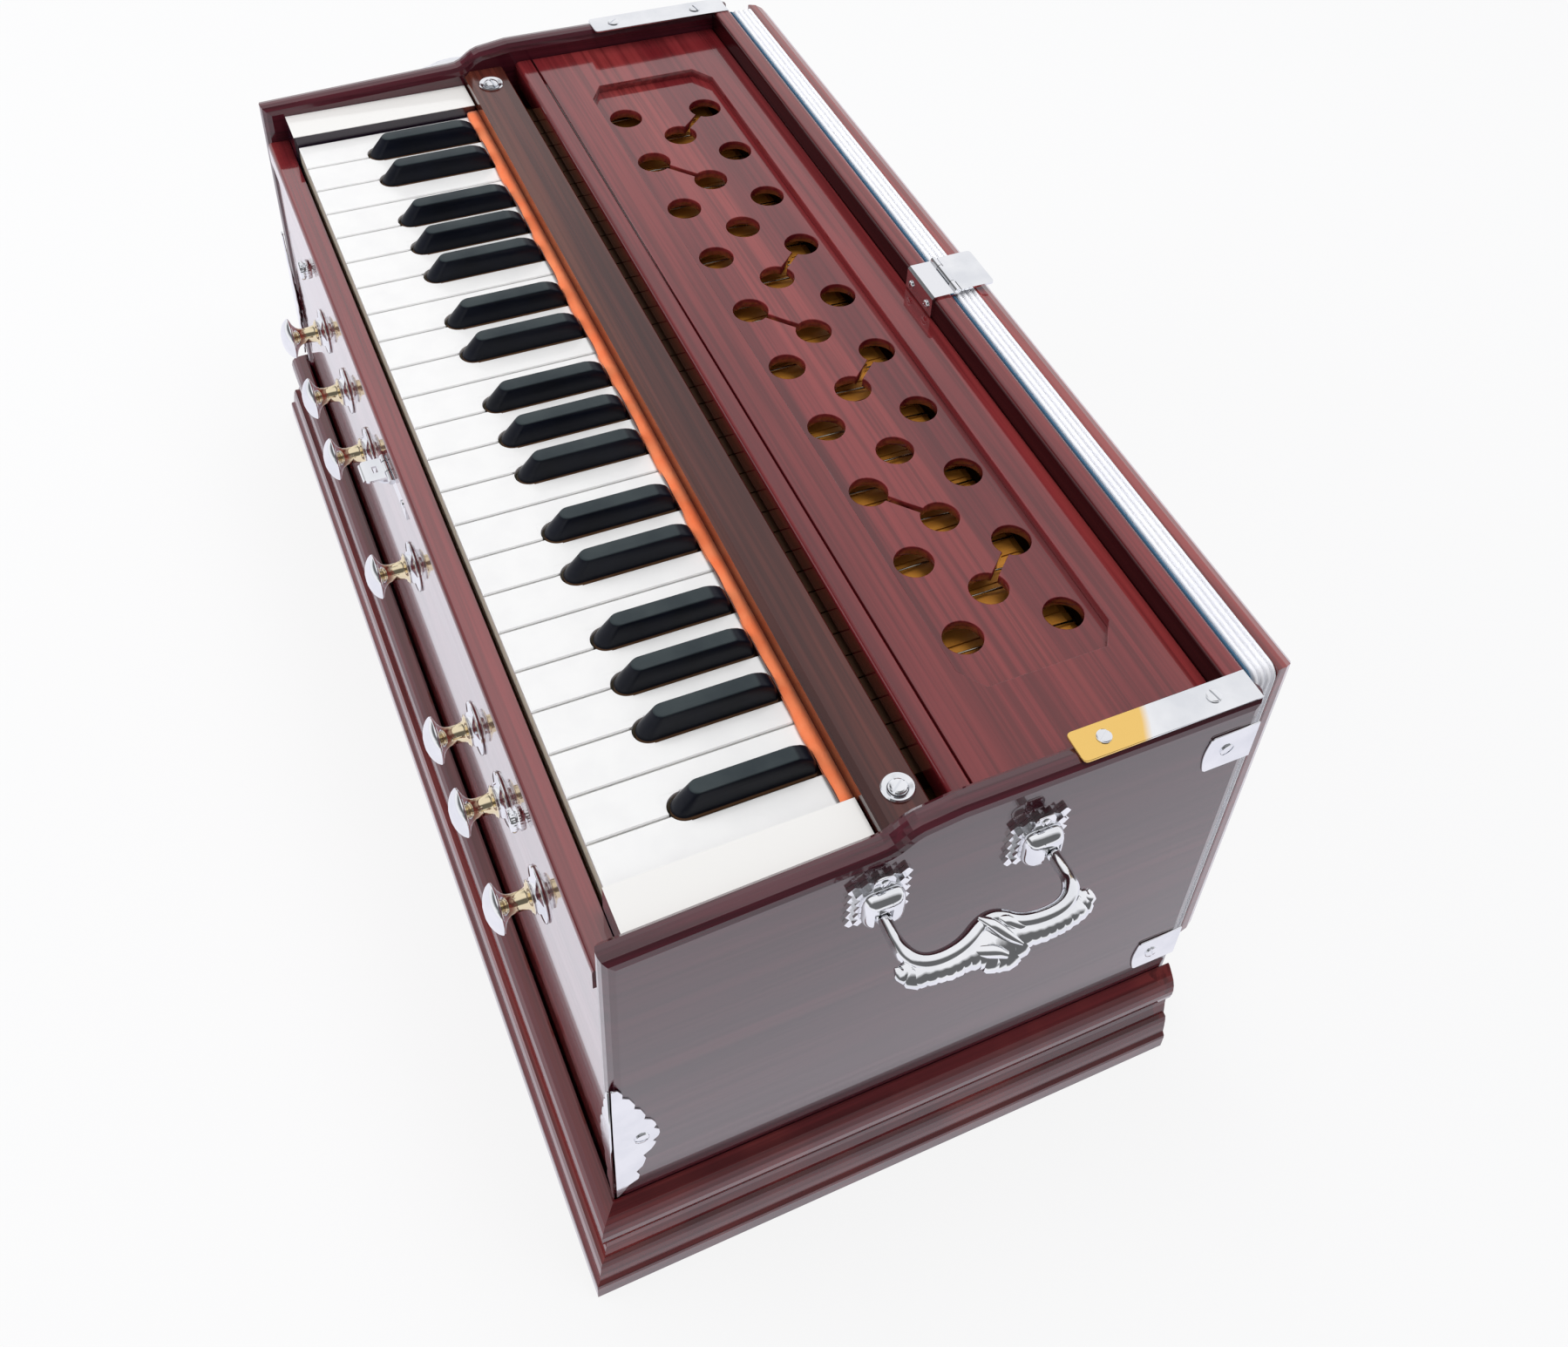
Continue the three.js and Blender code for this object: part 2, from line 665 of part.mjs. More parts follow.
function makeLever(x0, x1, front) {
  const tail = tailBack;
  const padBack = tail - padSetback;
  const padFront = padBack - padLength;
  const underside = whiteUnderside + leverRelief;
  const points = [
    [front, whiteUnderside],
    [pivotBack + pivotRadius * 2, whiteUnderside],
    [pivotBack + pivotRadius * 3, underside],
    [padFront, underside],
    [padFront, padSeat],
    [padBack, padSeat],
    [padBack, underside],
    [tail, underside],
    [tail, leverTop - leverRelief],
    [tail - pivotRadius, leverTop],
    [front, leverTop],
  ];
  return prismX(outline(points), x0, x1);
}

function makeWhiteKey(x0, x1, tail0, tail1, slot1) {
  const plan = outline([
    [x0, keyFront], [x1, keyFront], [x1, whiteShoulder], [tail1, whiteShoulder],
    [tail1, capBack], [tail0, capBack], [tail0, whiteShoulder], [x0, whiteShoulder],
  ]);
  const cap = prismZ(plan, whiteUnderside, playHeight, whiteEdge);
  return cap.add(makeLever(tail0, slot1, keyShowBack - blackRearSlope));
}

function makeBlackKey(middle, x0, x1) {
  const top = playHeight + blackRise;
  const [bottomHalf, topHalf] = [blackBottomWidth / 2, blackTopWidth / 2];
  const shoulder = top - blackRise / 5;
  const section = [
    [-bottomHalf, leverTop - leverRelief], [bottomHalf, leverTop - leverRelief], [bottomHalf, leverTop],
    [topHalf, shoulder], [topHalf - whiteEdge * 2, top],
    [whiteEdge * 2 - topHalf, top], [-topHalf, shoulder], [-bottomHalf, leverTop],
  ].map(([a, b]) => [middle + a, b]);
  const side = new THREE.Shape();
  const foot = leverTop - leverRelief;
  side.moveTo(blackFront, foot);
  side.lineTo(keyShowBack - seatGap, foot);
  side.lineTo(keyShowBack - seatGap, playHeight);
  side.quadraticCurveTo(keyShowBack - blackRearSlope / 4, top, keyShowBack - blackRearSlope, top);
  side.lineTo(blackFront + blackFrontSlope, top);
  side.quadraticCurveTo(blackFront + blackFrontSlope - blackRise / 3, top, blackFront + blackRise / 4, playHeight);
  side.lineTo(blackFront, leverTop);
  const along = prismY(outline(section), blackFront - overrun, keyShowBack + overrun);
  const cap = along.intersect(prismX(side, x0 - overrun, x1 + overrun));
  return cap.add(makeLever(x0, x1, blackFront));
}

const noteNames = ['c', 'c_sharp', 'd', 'd_sharp', 'e', 'f', 'f_sharp', 'g', 'g_sharp', 'a', 'a_sharp', 'b'];
const keyCount = 39;
let whiteIndex = 0;
for (let key = 0; key < keyCount; key += 1) {
  const semitone = key % noteNames.length;
  const octave = Math.floor(key / noteNames.length);
  const octaveStart = octave * octaveWhites * keyPitch - keyboardHalf;
  const [slot0, slot1] = slotOf(semitone).map((edge) => octaveStart + edge);
  const [lever0, lever1] = [slot0 + keyGap / 2, slot1 - keyGap / 2];
  const name = `key_${String(key + 1).padStart(2, '0')}_${noteNames[semitone]}`;
  if (noteNames[semitone].endsWith('sharp')) {
    addPiece(name, makeBlackKey((slot0 + slot1) / 2, lever0, lever1), blackCap());
  } else {
    const left = whiteIndex * keyPitch - keyboardHalf;
    const [x0, x1] = [left + keyGap / 2, left + keyPitch - keyGap / 2];
    const tail1 = key === keyCount - 1 ? x1 : Math.min(lever1, x1);
    addPiece(name, makeWhiteKey(x0, x1, Math.max(lever0, x0), tail1, lever1), whiteCap());
    whiteIndex += 1;
  }
}

// Key strip across the levers, with its felt in front and a leg at each end

function makeKeyStrip() {
  const bottom = playHeight + stripClearance;
  const top = playHeight + stripRise;
  const back = stripFront + stripWidth;
  const points = [
    [stripFront - feltReach, bottom],
    [back, bottom],
    [back, top - stripBevel / 4],
    [back - stripBevel / 4, top],
    [stripFront + stripBevel, top],
    [stripFront, top - stripBevel],
    [stripFront, bottom + feltThickness],
    [stripFront - feltReach, bottom + feltThickness],
  ];
  const strip = prismX(outline(points), -keyboardHalf, keyboardHalf);
  const endPoints = points.slice(1, 6);
  const ends = [-1, 1].map((side) => {
    const [inner, outer] = [side * (keyboardHalf - overrun), side * fitHalf];
    const [x0, x1] = [Math.min(inner, outer), Math.max(inner, outer)];
    return prismX(outline([[stripFront, bottom], ...endPoints]), x0, x1);
  });
  const legs = [-1, 1].map((side) => {
    const [inner, outer] = [side * (keyboardHalf + cheekClearance * 2), side * fitHalf];
    return block(
      Math.min(inner, outer), Math.max(inner, outer),
      stripFront + seatGap, back - seatGap,
      deckFrontTop + seatGap, bottom + seatGap,
    );
  });
  return join(strip, ...ends, ...legs);
}

addPiece('key_strip', makeKeyStrip(), darkLacquer());

// Top board: a ridge in front, a sunken field with cut corners, sound holes and slots

function makeTopBoard() {
  const shape = new THREE.Shape();
  shape.moveTo(ridgeFront, topBoardUnderside);
  shape.lineTo(topBoardBack, topBoardUnderside);
  shape.lineTo(topBoardBack, topBoardTop);
  shape.lineTo(topBoardFront, topBoardTop);
  shape.lineTo(topBoardFront, topBoardTop - ridgeGrooveDepth);
  shape.lineTo(topBoardFront - ridgeGroove, topBoardTop - ridgeGrooveDepth);
  shape.lineTo(topBoardFront - ridgeGroove, topBoardTop - ridgeEdge);
  shape.quadraticCurveTo(
    topBoardFront - ridgeGroove, topBoardTop,
    topBoardFront - ridgeGroove - ridgeEdge, topBoardTop,
  );
  shape.lineTo(ridgeFront + ridgeEdge, topBoardTop);
  shape.quadraticCurveTo(ridgeFront, topBoardTop, ridgeFront, topBoardTop - ridgeEdge);
  let body = prismX(shape, -fitHalf, fitHalf);

  const fieldBack = topBoardBack - fieldBackMargin;
  const fieldFront = topBoardFront + fieldFrontMargin;
  const [left, right] = [fieldShift - fieldLength / 2, fieldShift + fieldLength / 2];
  const field = outline([
    [left + fieldCornerLong, fieldFront], [right - fieldCornerLong, fieldFront],
    [right, fieldFront + fieldCornerShort], [right, fieldBack - fieldCornerShort],
    [right - fieldCornerLong, fieldBack], [left + fieldCornerLong, fieldBack],
    [left, fieldBack - fieldCornerShort], [left, fieldFront + fieldCornerShort],
  ]);
  body = body.subtract(prismZ(field, topBoardTop - fieldDepth, topBoardTop + overrun));

  const middleRow = (fieldFront + fieldBack) / 2;
  const rowPitch = middleRow - fieldFront - soundHoleMargin - soundHoleRadius;
  const rows = rowShifts.map((shift, row) => {
    const count = row === 1 ? soundHoleCount - 1 : soundHoleCount;
    const y = middleRow + (row - 1) * rowPitch;
    return Array.from({ length: count }, (_, i) => [shift + (i - (count - 1) / 2) * soundHolePitch, y]);
  });
  const cuts = [];
  for (const [x, y] of rows.flat()) {
    cuts.push(bar([x, y, topBoardUnderside - overrun], [x, y, topBoardTop], soundHoleRadius, holeSides));
  }
  // Narrow slots join some holes of the outer rows to holes of the middle one
  const joined = [[2, 0, 0], [0, 1, 1], [2, 3, 3], [0, 4, 4], [2, 5, 5], [0, 7, 7], [2, 8, 8]];
  for (const [row, outer, inner] of joined) {
    const from = new THREE.Vector2(...rows[row][outer]);
    const to = new THREE.Vector2(...rows[1][inner]);
    const across = to.clone().sub(from).normalize();
    const side = new THREE.Vector2(-across.y, across.x).multiplyScalar(soundSlotWidth / 2);
    const corners = [from.clone().add(side), from.clone().sub(side), to.clone().sub(side), to.clone().add(side)];
    const slot = outline(corners.map(({ x, y }) => [x, y]));
    cuts.push(prismZ(slot, topBoardUnderside - overrun, topBoardTop));
  }
  body = body.subtract(join(...cuts));

  for (const side of [-1, 1]) {
    const [inner, outer] = [side * (fitHalf - battenWidth), side * fitHalf];
    body = body.add(block(
      Math.min(inner, outer), Math.max(inner, outer),
      topBoardFront + battenInset, rearWallFront - battenInset,
      deckTop + seatGap, topBoardUnderside + seatGap,
    ));
  }
  return body;
}

addPiece('top_board', makeTopBoard(), lacquer());

// Rear wall with the rear rail along its top, and the fixed half of the latch

const latchAxisY = caseDepth + latchOverhang;
const latchAxisZ = rearTop + latchBarrelRadius;
const latchKnuckle = latchWidth / 4;
const boardHingeY = rearFace + hingeLeafThickness + hingeClearance + boardHingeRadius;
const boardHingeZ = bellowsLow - boardHingeRadius - hingeClearance;
const boardHingeX = bellowsHalf - boardHingeInset;

function makeRearWall() {
  const shape = new THREE.Shape();
  shape.moveTo(rearWallFront, floorOfCase);
  shape.lineTo(rearFace, floorOfCase);
  shape.lineTo(rearFace, rearTop - rearRailEdge);
  shape.quadraticCurveTo(rearFace, rearTop, rearFace - rearRailEdge, rearTop);
  shape.lineTo(rearRailFront + rearRailEdge, rearTop);
  shape.quadraticCurveTo(rearRailFront, rearTop, rearRailFront, rearTop - rearRailEdge);
  shape.lineTo(rearRailFront, topBoardUnderside - seatGap);
  shape.lineTo(rearWallFront, topBoardUnderside - seatGap);
  let body = prismX(shape, -fitHalf, fitHalf);

  const [x0, x1] = [latchMiddle - latchWidth / 2, latchMiddle + latchWidth / 2];
  const bracket = outline([
    [rearRailFront - latchPlate, rearTop - latchFlangeDrop],
    [rearRailFront + latchPlate, rearTop - latchFlangeDrop],
    [rearRailFront + rearRailEdge, rearTop - rearRailEdge],
    [latchAxisY, rearTop - latchPlate / 4],
    [latchAxisY, rearTop + latchPlate],
    [rearRailFront, rearTop + latchPlate],
    [rearRailFront - latchPlate, rearTop],
  ]);
  body = body.add(prismX(bracket, x0, x1).subtract(block(
    latchMiddle - latchKnuckle, latchMiddle + latchKnuckle,
    latchAxisY - latchBarrelRadius - hingeClearance, latchAxisY + overrun,
    rearTop - overrun, rearTop + overrun,
  )));
  for (const side of [-1, 1]) {
    const outer = latchMiddle + (side * latchWidth) / 2;
    const inner = latchMiddle + side * latchKnuckle;
    body = body.add(bar([outer, latchAxisY, latchAxisZ], [inner, latchAxisY, latchAxisZ], latchBarrelRadius));
  }
  body = body.add(bar([x0, latchAxisY, latchAxisZ], [x1, latchAxisY, latchAxisZ], latchPinRadius));

  for (const side of [-1, 1]) {
    const middle = side * boardHingeX;
    const [h0, h1] = [middle - boardHingeLength / 2, middle + boardHingeLength / 2];
    const third = boardHingeLength / 6;
    body = body.add(block(
      h0, h1,
      rearFace - hingeLeafThickness, rearFace + hingeLeafThickness,
      boardHingeZ - hingeLeafHeight, boardHingeZ,
    ));
    for (const end of [-1, 1]) {
      const outer = middle + (end * boardHingeLength) / 2;
      const inner = middle + end * third;
      const [k0, k1] = [Math.min(outer, inner), Math.max(outer, inner)];
      body = body.add(bar([k0, boardHingeY, boardHingeZ], [k1, boardHingeY, boardHingeZ], boardHingeRadius));
      body = body.add(block(
        k0, k1, rearFace, boardHingeY, boardHingeZ - hingeLeafThickness, boardHingeZ,
      ));
    }
    body = body.add(bar([h0, boardHingeY, boardHingeZ], [h1, boardHingeY, boardHingeZ], hingePinRadius));
  }
  return body;
}

addPiece('rear_wall', makeRearWall(), lacquer());

// Latch leaf, lying flat over the top of the bellows board

function makeLatchLeaf() {
  const [x0, x1] = [latchMiddle - latchWidth / 2, latchMiddle + latchWidth / 2];
  const plan = roundedRectangle(x0, x1, latchAxisY, latchAxisY + latchLeafReach, latchCorner);
  const bottom = latchAxisZ - latchPlate / 2;
  const leaf = prismZ(plan, bottom, bottom + latchPlate);
  const knuckleHalf = latchKnuckle - hingeClearance;
  let body = leaf;
  for (const side of [-1, 1]) {
    const inner = latchMiddle + side * knuckleHalf;
    const outer = latchMiddle + side * (latchWidth / 2 + overrun);
    body = body.subtract(block(
      Math.min(inner, outer), Math.max(inner, outer),
      latchAxisY - overrun, latchAxisY + latchBarrelRadius + hingeClearance,
      bottom - overrun, bottom + overrun,
    ));
  }
  const ends = [latchMiddle - knuckleHalf, latchMiddle + knuckleHalf];
  const knuckle = bar([ends[0], latchAxisY, latchAxisZ], [ends[1], latchAxisY, latchAxisZ], latchBarrelRadius);
  const bore = bar(
    [ends[0] - overrun, latchAxisY, latchAxisZ], [ends[1] + overrun, latchAxisY, latchAxisZ],
    latchPinRadius + hingeClearance,
  );
  return join(body, knuckle).subtract(bore);
}

addPiece('latch_leaf', makeLatchLeaf(), chrome());

// Bellows board: one thick board whose outer edge is rounded all the way round

function makeBellowsBoard() {
  const rectangle = outline([
    [-bellowsHalf, bellowsLow], [bellowsHalf, bellowsLow], [bellowsHalf, bellowsHigh], [-bellowsHalf, bellowsHigh],
  ]);
  const outer = bellowsBoardFront + bellowsBoardThickness;
  const twofold = prismY(rectangle, bellowsBoardFront - bellowsBoardThickness, outer, bellowsBoardEdge, 5);
  let body = twofold.subtract(block(
    -caseOuterHalf, caseOuterHalf,
    bellowsBoardFront - bellowsBoardThickness - overrun, bellowsBoardFront,
    0, rearTop,
  ));
  for (const side of [-1, 1]) {
    const middle = side * boardHingeX;
    const half = boardHingeLength / 6 - hingeClearance;
    const [k0, k1] = [middle - half, middle + half];
    const knuckle = bar([k0, boardHingeY, boardHingeZ], [k1, boardHingeY, boardHingeZ], boardHingeRadius);
    const web = block(
      k0, k1,
      boardHingeY, bellowsBoardFront + hingeLeafThickness,
      boardHingeZ - hingeLeafThickness / 2, boardHingeZ + hingeLeafThickness / 2,
    );
    const foot = block(
      k0, k1,
      bellowsBoardFront, bellowsBoardFront + hingeLeafThickness,
      boardHingeZ, bellowsLow + hingeLeafThickness,
    );
    const bore = bar(
      [k0 - overrun, boardHingeY, boardHingeZ], [k1 + overrun, boardHingeY, boardHingeZ],
      hingePinRadius + hingeClearance,
    );
    body = join(body, knuckle, web, foot).subtract(bore);
  }
  return body;
}

addPiece('bellows_board', makeBellowsBoard(), lacquer());

// Bellows, pressed flat between case and board: rings that stand full and drawn in by turns

function makeFolds() {
  const rings = 2 * bellowsFoldCount + 1;
  const positions = [];
  let sides = 0;
  for (let ring = 0; ring < rings; ring += 1) {
    const pull = ring % 2 ? bellowsFoldPull : 0;
    const half = bellowsHalf - pull;
    const [low, high] = [bellowsLow + pull, bellowsHigh - pull];
    const corner = bellowsCorner;
    const y = bellowsFront + (bellowsPackThickness * ring) / (rings - 1);
    const points = [
      [corner - half, low], [half - corner, low], [half, low + corner], [half, high - corner],
      [half - corner, high], [corner - half, high], [-half, high - corner], [-half, low + corner],
    ];
    sides = points.length;
    positions.push(...points.flatMap(([x, z]) => [x, y, z]));
  }
  const index = [];
  for (let side = 1; side < sides - 1; side += 1) {
    index.push(0, side, side + 1);
  }
  for (let ring = 0; ring < rings - 1; ring += 1) {
    for (let side = 0; side < sides; side += 1) {
      const a = ring * sides + side;
      const b = ring * sides + ((side + 1) % sides);
      index.push(a, a + sides, b, b, a + sides, b + sides);
    }
  }
  const last = (rings - 1) * sides;
  for (let side = 1; side < sides - 1; side += 1) {
    index.push(last, last + side + 1, last + side);
  }
  const geometry = new THREE.BufferGeometry();
  geometry.setAttribute('position', new THREE.Float32BufferAttribute(positions, 3));
  geometry.setIndex(index);
  return solid(geometry);
}

addPiece('bellows_folds', makeFolds(), cloth());

// Stops: turned knobs on shafts that slide through the front board

function makeStop(x) {
  const face = frontBoardRecess - seatGap;
  const profile = stopProfileShares.map(([out, along]) => [out * stopFlangeRadius, -along * stopLength]);
  const points = [
    [0, stopShaftLength], [stopShaftRadius, stopShaftLength], [stopShaftRadius, 0],
    ...profile, [0, -stopLength],
  ];
  const geometry = new THREE.LatheGeometry(
    points.reverse().map(([out, along]) => new THREE.Vector2(out, along)), stopSides,
  );
  geometry.translate(x, face, stopHeight);
  return solid(geometry);
}

stopPositions.forEach((x, i) => addPiece(`stop_knob_${i + 1}`, makeStop(x), chrome()));

export default harmonium;
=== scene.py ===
# %% [markdown]
# # A hand harmonium, one cell at a time
# The solids come ready made as a fixed frame: every case board, key, stop and handle
# is already where it belongs. This lesson dresses that frame. Some solids only get a
# finish, others are stood in for by a finer piece, and small hardware is added.

import math

import bmesh
import bpy
from mathutils import Matrix, Vector


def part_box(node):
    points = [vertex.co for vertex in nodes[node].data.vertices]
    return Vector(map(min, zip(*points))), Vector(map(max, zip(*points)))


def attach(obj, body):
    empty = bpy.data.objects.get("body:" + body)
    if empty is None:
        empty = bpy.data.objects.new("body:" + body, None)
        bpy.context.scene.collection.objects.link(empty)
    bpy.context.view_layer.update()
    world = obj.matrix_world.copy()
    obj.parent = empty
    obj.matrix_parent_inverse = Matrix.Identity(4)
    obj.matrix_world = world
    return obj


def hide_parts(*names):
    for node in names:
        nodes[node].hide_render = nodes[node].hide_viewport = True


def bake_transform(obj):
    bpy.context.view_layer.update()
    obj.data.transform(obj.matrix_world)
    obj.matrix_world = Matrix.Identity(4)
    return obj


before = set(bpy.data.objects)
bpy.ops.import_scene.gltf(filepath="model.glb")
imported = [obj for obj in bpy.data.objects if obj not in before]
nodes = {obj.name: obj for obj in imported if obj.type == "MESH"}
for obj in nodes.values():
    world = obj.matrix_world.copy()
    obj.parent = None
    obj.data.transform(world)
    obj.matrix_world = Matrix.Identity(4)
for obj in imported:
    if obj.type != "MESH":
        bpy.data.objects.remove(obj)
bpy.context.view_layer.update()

# %% [markdown]
# The maker measures in millimetres from the front faces of the end panels, while the
# frame is in metres with its middle at the origin. One helper turns the first into
# the second, so that every number below can be checked with a ruler.

# %% Millimetres
MM = 0.001
FRONT = 131.75  # front faces of the end panels, in front of the origin
CASE_HALF = 288.0  # half the length of the case
CRISP = 0.02 * MM  # half the width of a finish's step where metal meets wood
ENDS = (("treble", 1), ("bass", -1))  # the two ends of the case, and their sign in x


def depth(y):
    """The frame's y, in metres, of a place behind the front faces."""
    return (y - FRONT) * MM


def at(x, y, z):
    return Vector((x * MM, depth(y), z * MM))


print("front left corner of the case:", [round(v, 4) for v in at(-CASE_HALF, 0, 57.5)])

# %% [markdown]
# The camera stands close to the treble end, a little in front of the case and well
# above it, and looks down across the keys. Its axes are set directly rather than
# aimed at a point, because the near corner must fall away as steeply as it does to
# the eye.

# %% Camera
camera = bpy.data.objects.new("camera", bpy.data.cameras.new("camera"))
bpy.context.scene.collection.objects.link(camera)
right = Vector((0.431122, 0.899017, 0.076828))
down = Vector((0.644686, -0.247344, -0.723326))
forward = Vector((-0.631279, 0.361372, -0.686219))
camera.matrix_world = Matrix.Translation((0.58132, -0.21682, 0.78870)) @ Matrix(
    (right, -down, -forward)
).transposed().to_4x4()
camera.data.lens = 39.30
camera.data.sensor_width = 36.0
camera.data.shift_x = -0.0536
camera.data.shift_y = -0.1497
camera.data.clip_start = 0.01
bpy.context.scene.camera = camera
print("camera height:", round(camera.location.z, 3))

# %% [markdown]
# A finish is a little graph of nodes. Written as Python sums it stays readable: a
# Signal is the output of one node, and adding or multiplying Signals adds Math nodes.


# %% Signals
class Signal:
    def __init__(self, graph, socket):
        self.graph = graph
        self.socket = socket

    def _sum(self, operation, *terms):
        return self.graph.add(
            "ShaderNodeMath", {"operation": operation}, dict(enumerate(terms))
        )

    def __add__(self, other):
        return self._sum("ADD", self, other)

    def __sub__(self, other):
        return self._sum("SUBTRACT", self, other)

    def __rsub__(self, other):
        return self._sum("SUBTRACT", other, self)

    def __mul__(self, other):
        return self._sum("MULTIPLY", self, other)

    def __abs__(self):
        return self._sum("ABSOLUTE", self)

    def larger(self, other):
        return self._sum("MAXIMUM", self, other)

    def ramp(self, low, high):
        """A straight line from one (in, out) pair to another, held at both ends."""
        return self.graph.add(
            "ShaderNodeMapRange",
            {"clamp": True},
            {0: self, 1: low[0], 2: high[0], 3: low[1], 4: high[1]},
        )

    def above(self, level, soft=0.0004):
        """0 below a level and 1 above it, with a soft step between."""
        return self.ramp((level - soft, 0.0), (level + soft, 1.0))

    def below(self, level, soft=0.0004):
        return 1 - self.above(level, soft)

    def near(self, middle, reach):
        """1 no further than reach from a place, with a crisp edge."""
        return abs(self - middle).below(reach, CRISP)


print("signals ready")

# %% [markdown]
# A Graph has one method that makes any node, and short ones for those that come up in
# every finish. A Finish is the Graph of a material, and its surface closes it.


# %% Finishes
def rgb(red, green, blue):
    """A colour from its 0 to 255 values, as the linear light that shaders use."""
    return tuple(
        (c / 12.92 if c <= 0.04045 else ((c + 0.055) / 1.055) ** 2.4)
        for c in (red / 255, green / 255, blue / 255)
    ) + (1.0,)


class Graph:
    def __init__(self, tree):
        self.tree = tree
        tree.nodes.clear()

    def add(self, kind, settings=None, sockets=None, output=0):
        """One node, as the Signal of its output. Sockets take Signals or values."""
        node = self.tree.nodes.new(kind)
        for name, value in (settings or {}).items():
            setattr(node, name, value)
        for key, value in (sockets or {}).items():
            if isinstance(value, Signal):
                self.tree.links.new(value.socket, node.inputs[key])
            else:
                node.inputs[key].default_value = value
        return Signal(self, node.outputs[output] if node.outputs else None)

    def place(self):
        """Where a point lies on the resting object, in metres."""
        return self.add("ShaderNodeTexCoord", output="Object")

    def parts(self, vector):
        split = self.add("ShaderNodeSeparateXYZ", sockets={0: vector}).socket.node
        return [Signal(self, split.outputs[k]) for k in range(3)]

    def stretched(self, vector, scale):
        return self.add(
            "ShaderNodeVectorMath", {"operation": "MULTIPLY"}, {0: vector, 1: scale}
        )

    def noise(self, vector, scale, detail=3.0, rough=0.5, warp=0.0):
        return self.add(
            "ShaderNodeTexNoise",
            {"noise_dimensions": "3D"},
            {"Vector": vector, "Scale": scale, "Detail": detail, "Roughness": rough,
             "Distortion": warp},
        )

    def blend(self, factor, first, second):
        return self.add(
            "ShaderNodeMix", {"data_type": "RGBA"}, {0: factor, 6: first, 7: second}, 2
        )

    def bump(self, height, strength, distance):
        return self.add(
            "ShaderNodeBump", {},
            {"Height": height, "Strength": strength, "Distance": distance}, "Normal",
        )

    def seen(self):
        """1 for the eye alone, and 1 for the eye, gloss and glass together."""
        path = self.add("ShaderNodeLightPath").socket.node
        by_eye = Signal(self, path.outputs["Is Camera Ray"])
        by_any = by_eye
        for ray in ("Is Glossy Ray", "Is Transmission Ray"):
            by_any = by_any.larger(Signal(self, path.outputs[ray]))
        return by_eye, by_any


class Finish(Graph):
    def __init__(self, name):
        self.material = bpy.data.materials.new(name)
        self.material.use_nodes = True
        super().__init__(self.material.node_tree)

    def surface(self, **values):
        names = {"colour": "Base Color", "rough": "Roughness", "metal": "Metallic",
                 "normal": "Normal", "coat": "Coat Weight", "coat_rough": "Coat Roughness",
                 "coat_ior": "Coat IOR", "sheen": "Sheen Weight",
                 "gloss": "Specular IOR Level"}
        shader = self.add(
            "ShaderNodeBsdfPrincipled", {}, {names[k]: v for k, v in values.items()}
        )
        self.add("ShaderNodeOutputMaterial", {}, {"Surface": shader})
        return self.material


print("finishes ready")

# %% [markdown]
# A white studio makes the red lacquer read as a mirror. The floor and the world look
# white to the eye and to the polish, but they light the object at a plain level, so
# that a colour comes out about as it is written. Dark sides of the studio, which only
# gloss can see, give the chrome its lines. Two soft panels light the case.

# %% Floor, world and lamps
WHITE = (1, 1, 1, 1)
LILAC = (0.93, 0.92, 1.0, 1)  # the floor's tint in a mirror

floor_finish = Finish("floor_white")
by_eye, seen = floor_finish.seen()
paint = floor_finish.add("ShaderNodeBsdfDiffuse", {}, {0: rgb(238, 238, 240), 1: 0.6})
tint = floor_finish.blend(by_eye, LILAC, WHITE)
glow = floor_finish.add("ShaderNodeEmission", {}, {0: tint, 1: 1.0})
white_where_seen = floor_finish.add(
    "ShaderNodeMixShader", {}, {0: seen * 0.86, 1: paint, 2: glow}
)
floor_finish.add("ShaderNodeOutputMaterial", {}, {"Surface": white_where_seen})
floor_mesh = bpy.data.meshes.new("floor")
reach = 12.0
floor_mesh.from_pydata(
    [(-reach, -reach, 0), (reach, -reach, 0), (reach, reach, 0), (-reach, reach, 0)],
    [], [(0, 1, 2, 3)],
)
floor = bpy.data.objects.new("floor", floor_mesh)
bpy.context.scene.collection.objects.link(floor)
floor.data.materials.append(floor_finish.material)

world = bpy.data.worlds.new("studio")
bpy.context.scene.world = world
world.use_nodes = True
sky = Graph(world.node_tree)
beside, ahead, height = sky.parts(
    sky.add("ShaderNodeTexCoord", output="Generated")
)
dark_front = height.ramp((0.22, 0.0), (0.40, 1.0)) * height.ramp((0.68, 1.0), (0.84, 0.0))
dark_front = dark_front * ahead.ramp((-0.45, 1.0), (-0.1, 0.0))
dark_side = height.ramp((0.12, 0.0), (0.28, 1.0)) * beside.ramp((0.2, 0.0), (0.45, 1.0))
band = dark_front.larger(dark_side)
lit_sky = sky.add("ShaderNodeBackground", {}, {0: (0.93, 0.95, 1.0, 1), 1: 0.46})
by_eye, seen = sky.seen()
mirrored = height.ramp((0.25, 1.0), (0.7, 0.96)) * (1 - band * 0.85)
shade = (mirrored * 0.98).larger(by_eye)
seen_sky = sky.add("ShaderNodeBackground", {}, {0: (0.98, 0.98, 1, 1), 1: shade})
sky.add(
    "ShaderNodeOutputWorld", {},
    {0: sky.add("ShaderNodeMixShader", {}, {0: seen, 1: lit_sky, 2: seen_sky})},
)


def softbox(name, place, target, size, watts):
    lamp = bpy.data.lights.new(name, "AREA")
    lamp.shape = "RECTANGLE"
    lamp.size, lamp.size_y = size
    lamp.energy = watts
    holder = bpy.data.objects.new(name, lamp)
    bpy.context.scene.collection.objects.link(holder)
    holder.location = place
    holder.rotation_euler = (
        (Vector(target) - Vector(place)).to_track_quat("-Z", "Y").to_euler()
    )
    holder.visible_glossy = False  # it lights the object, but no polish mirrors it


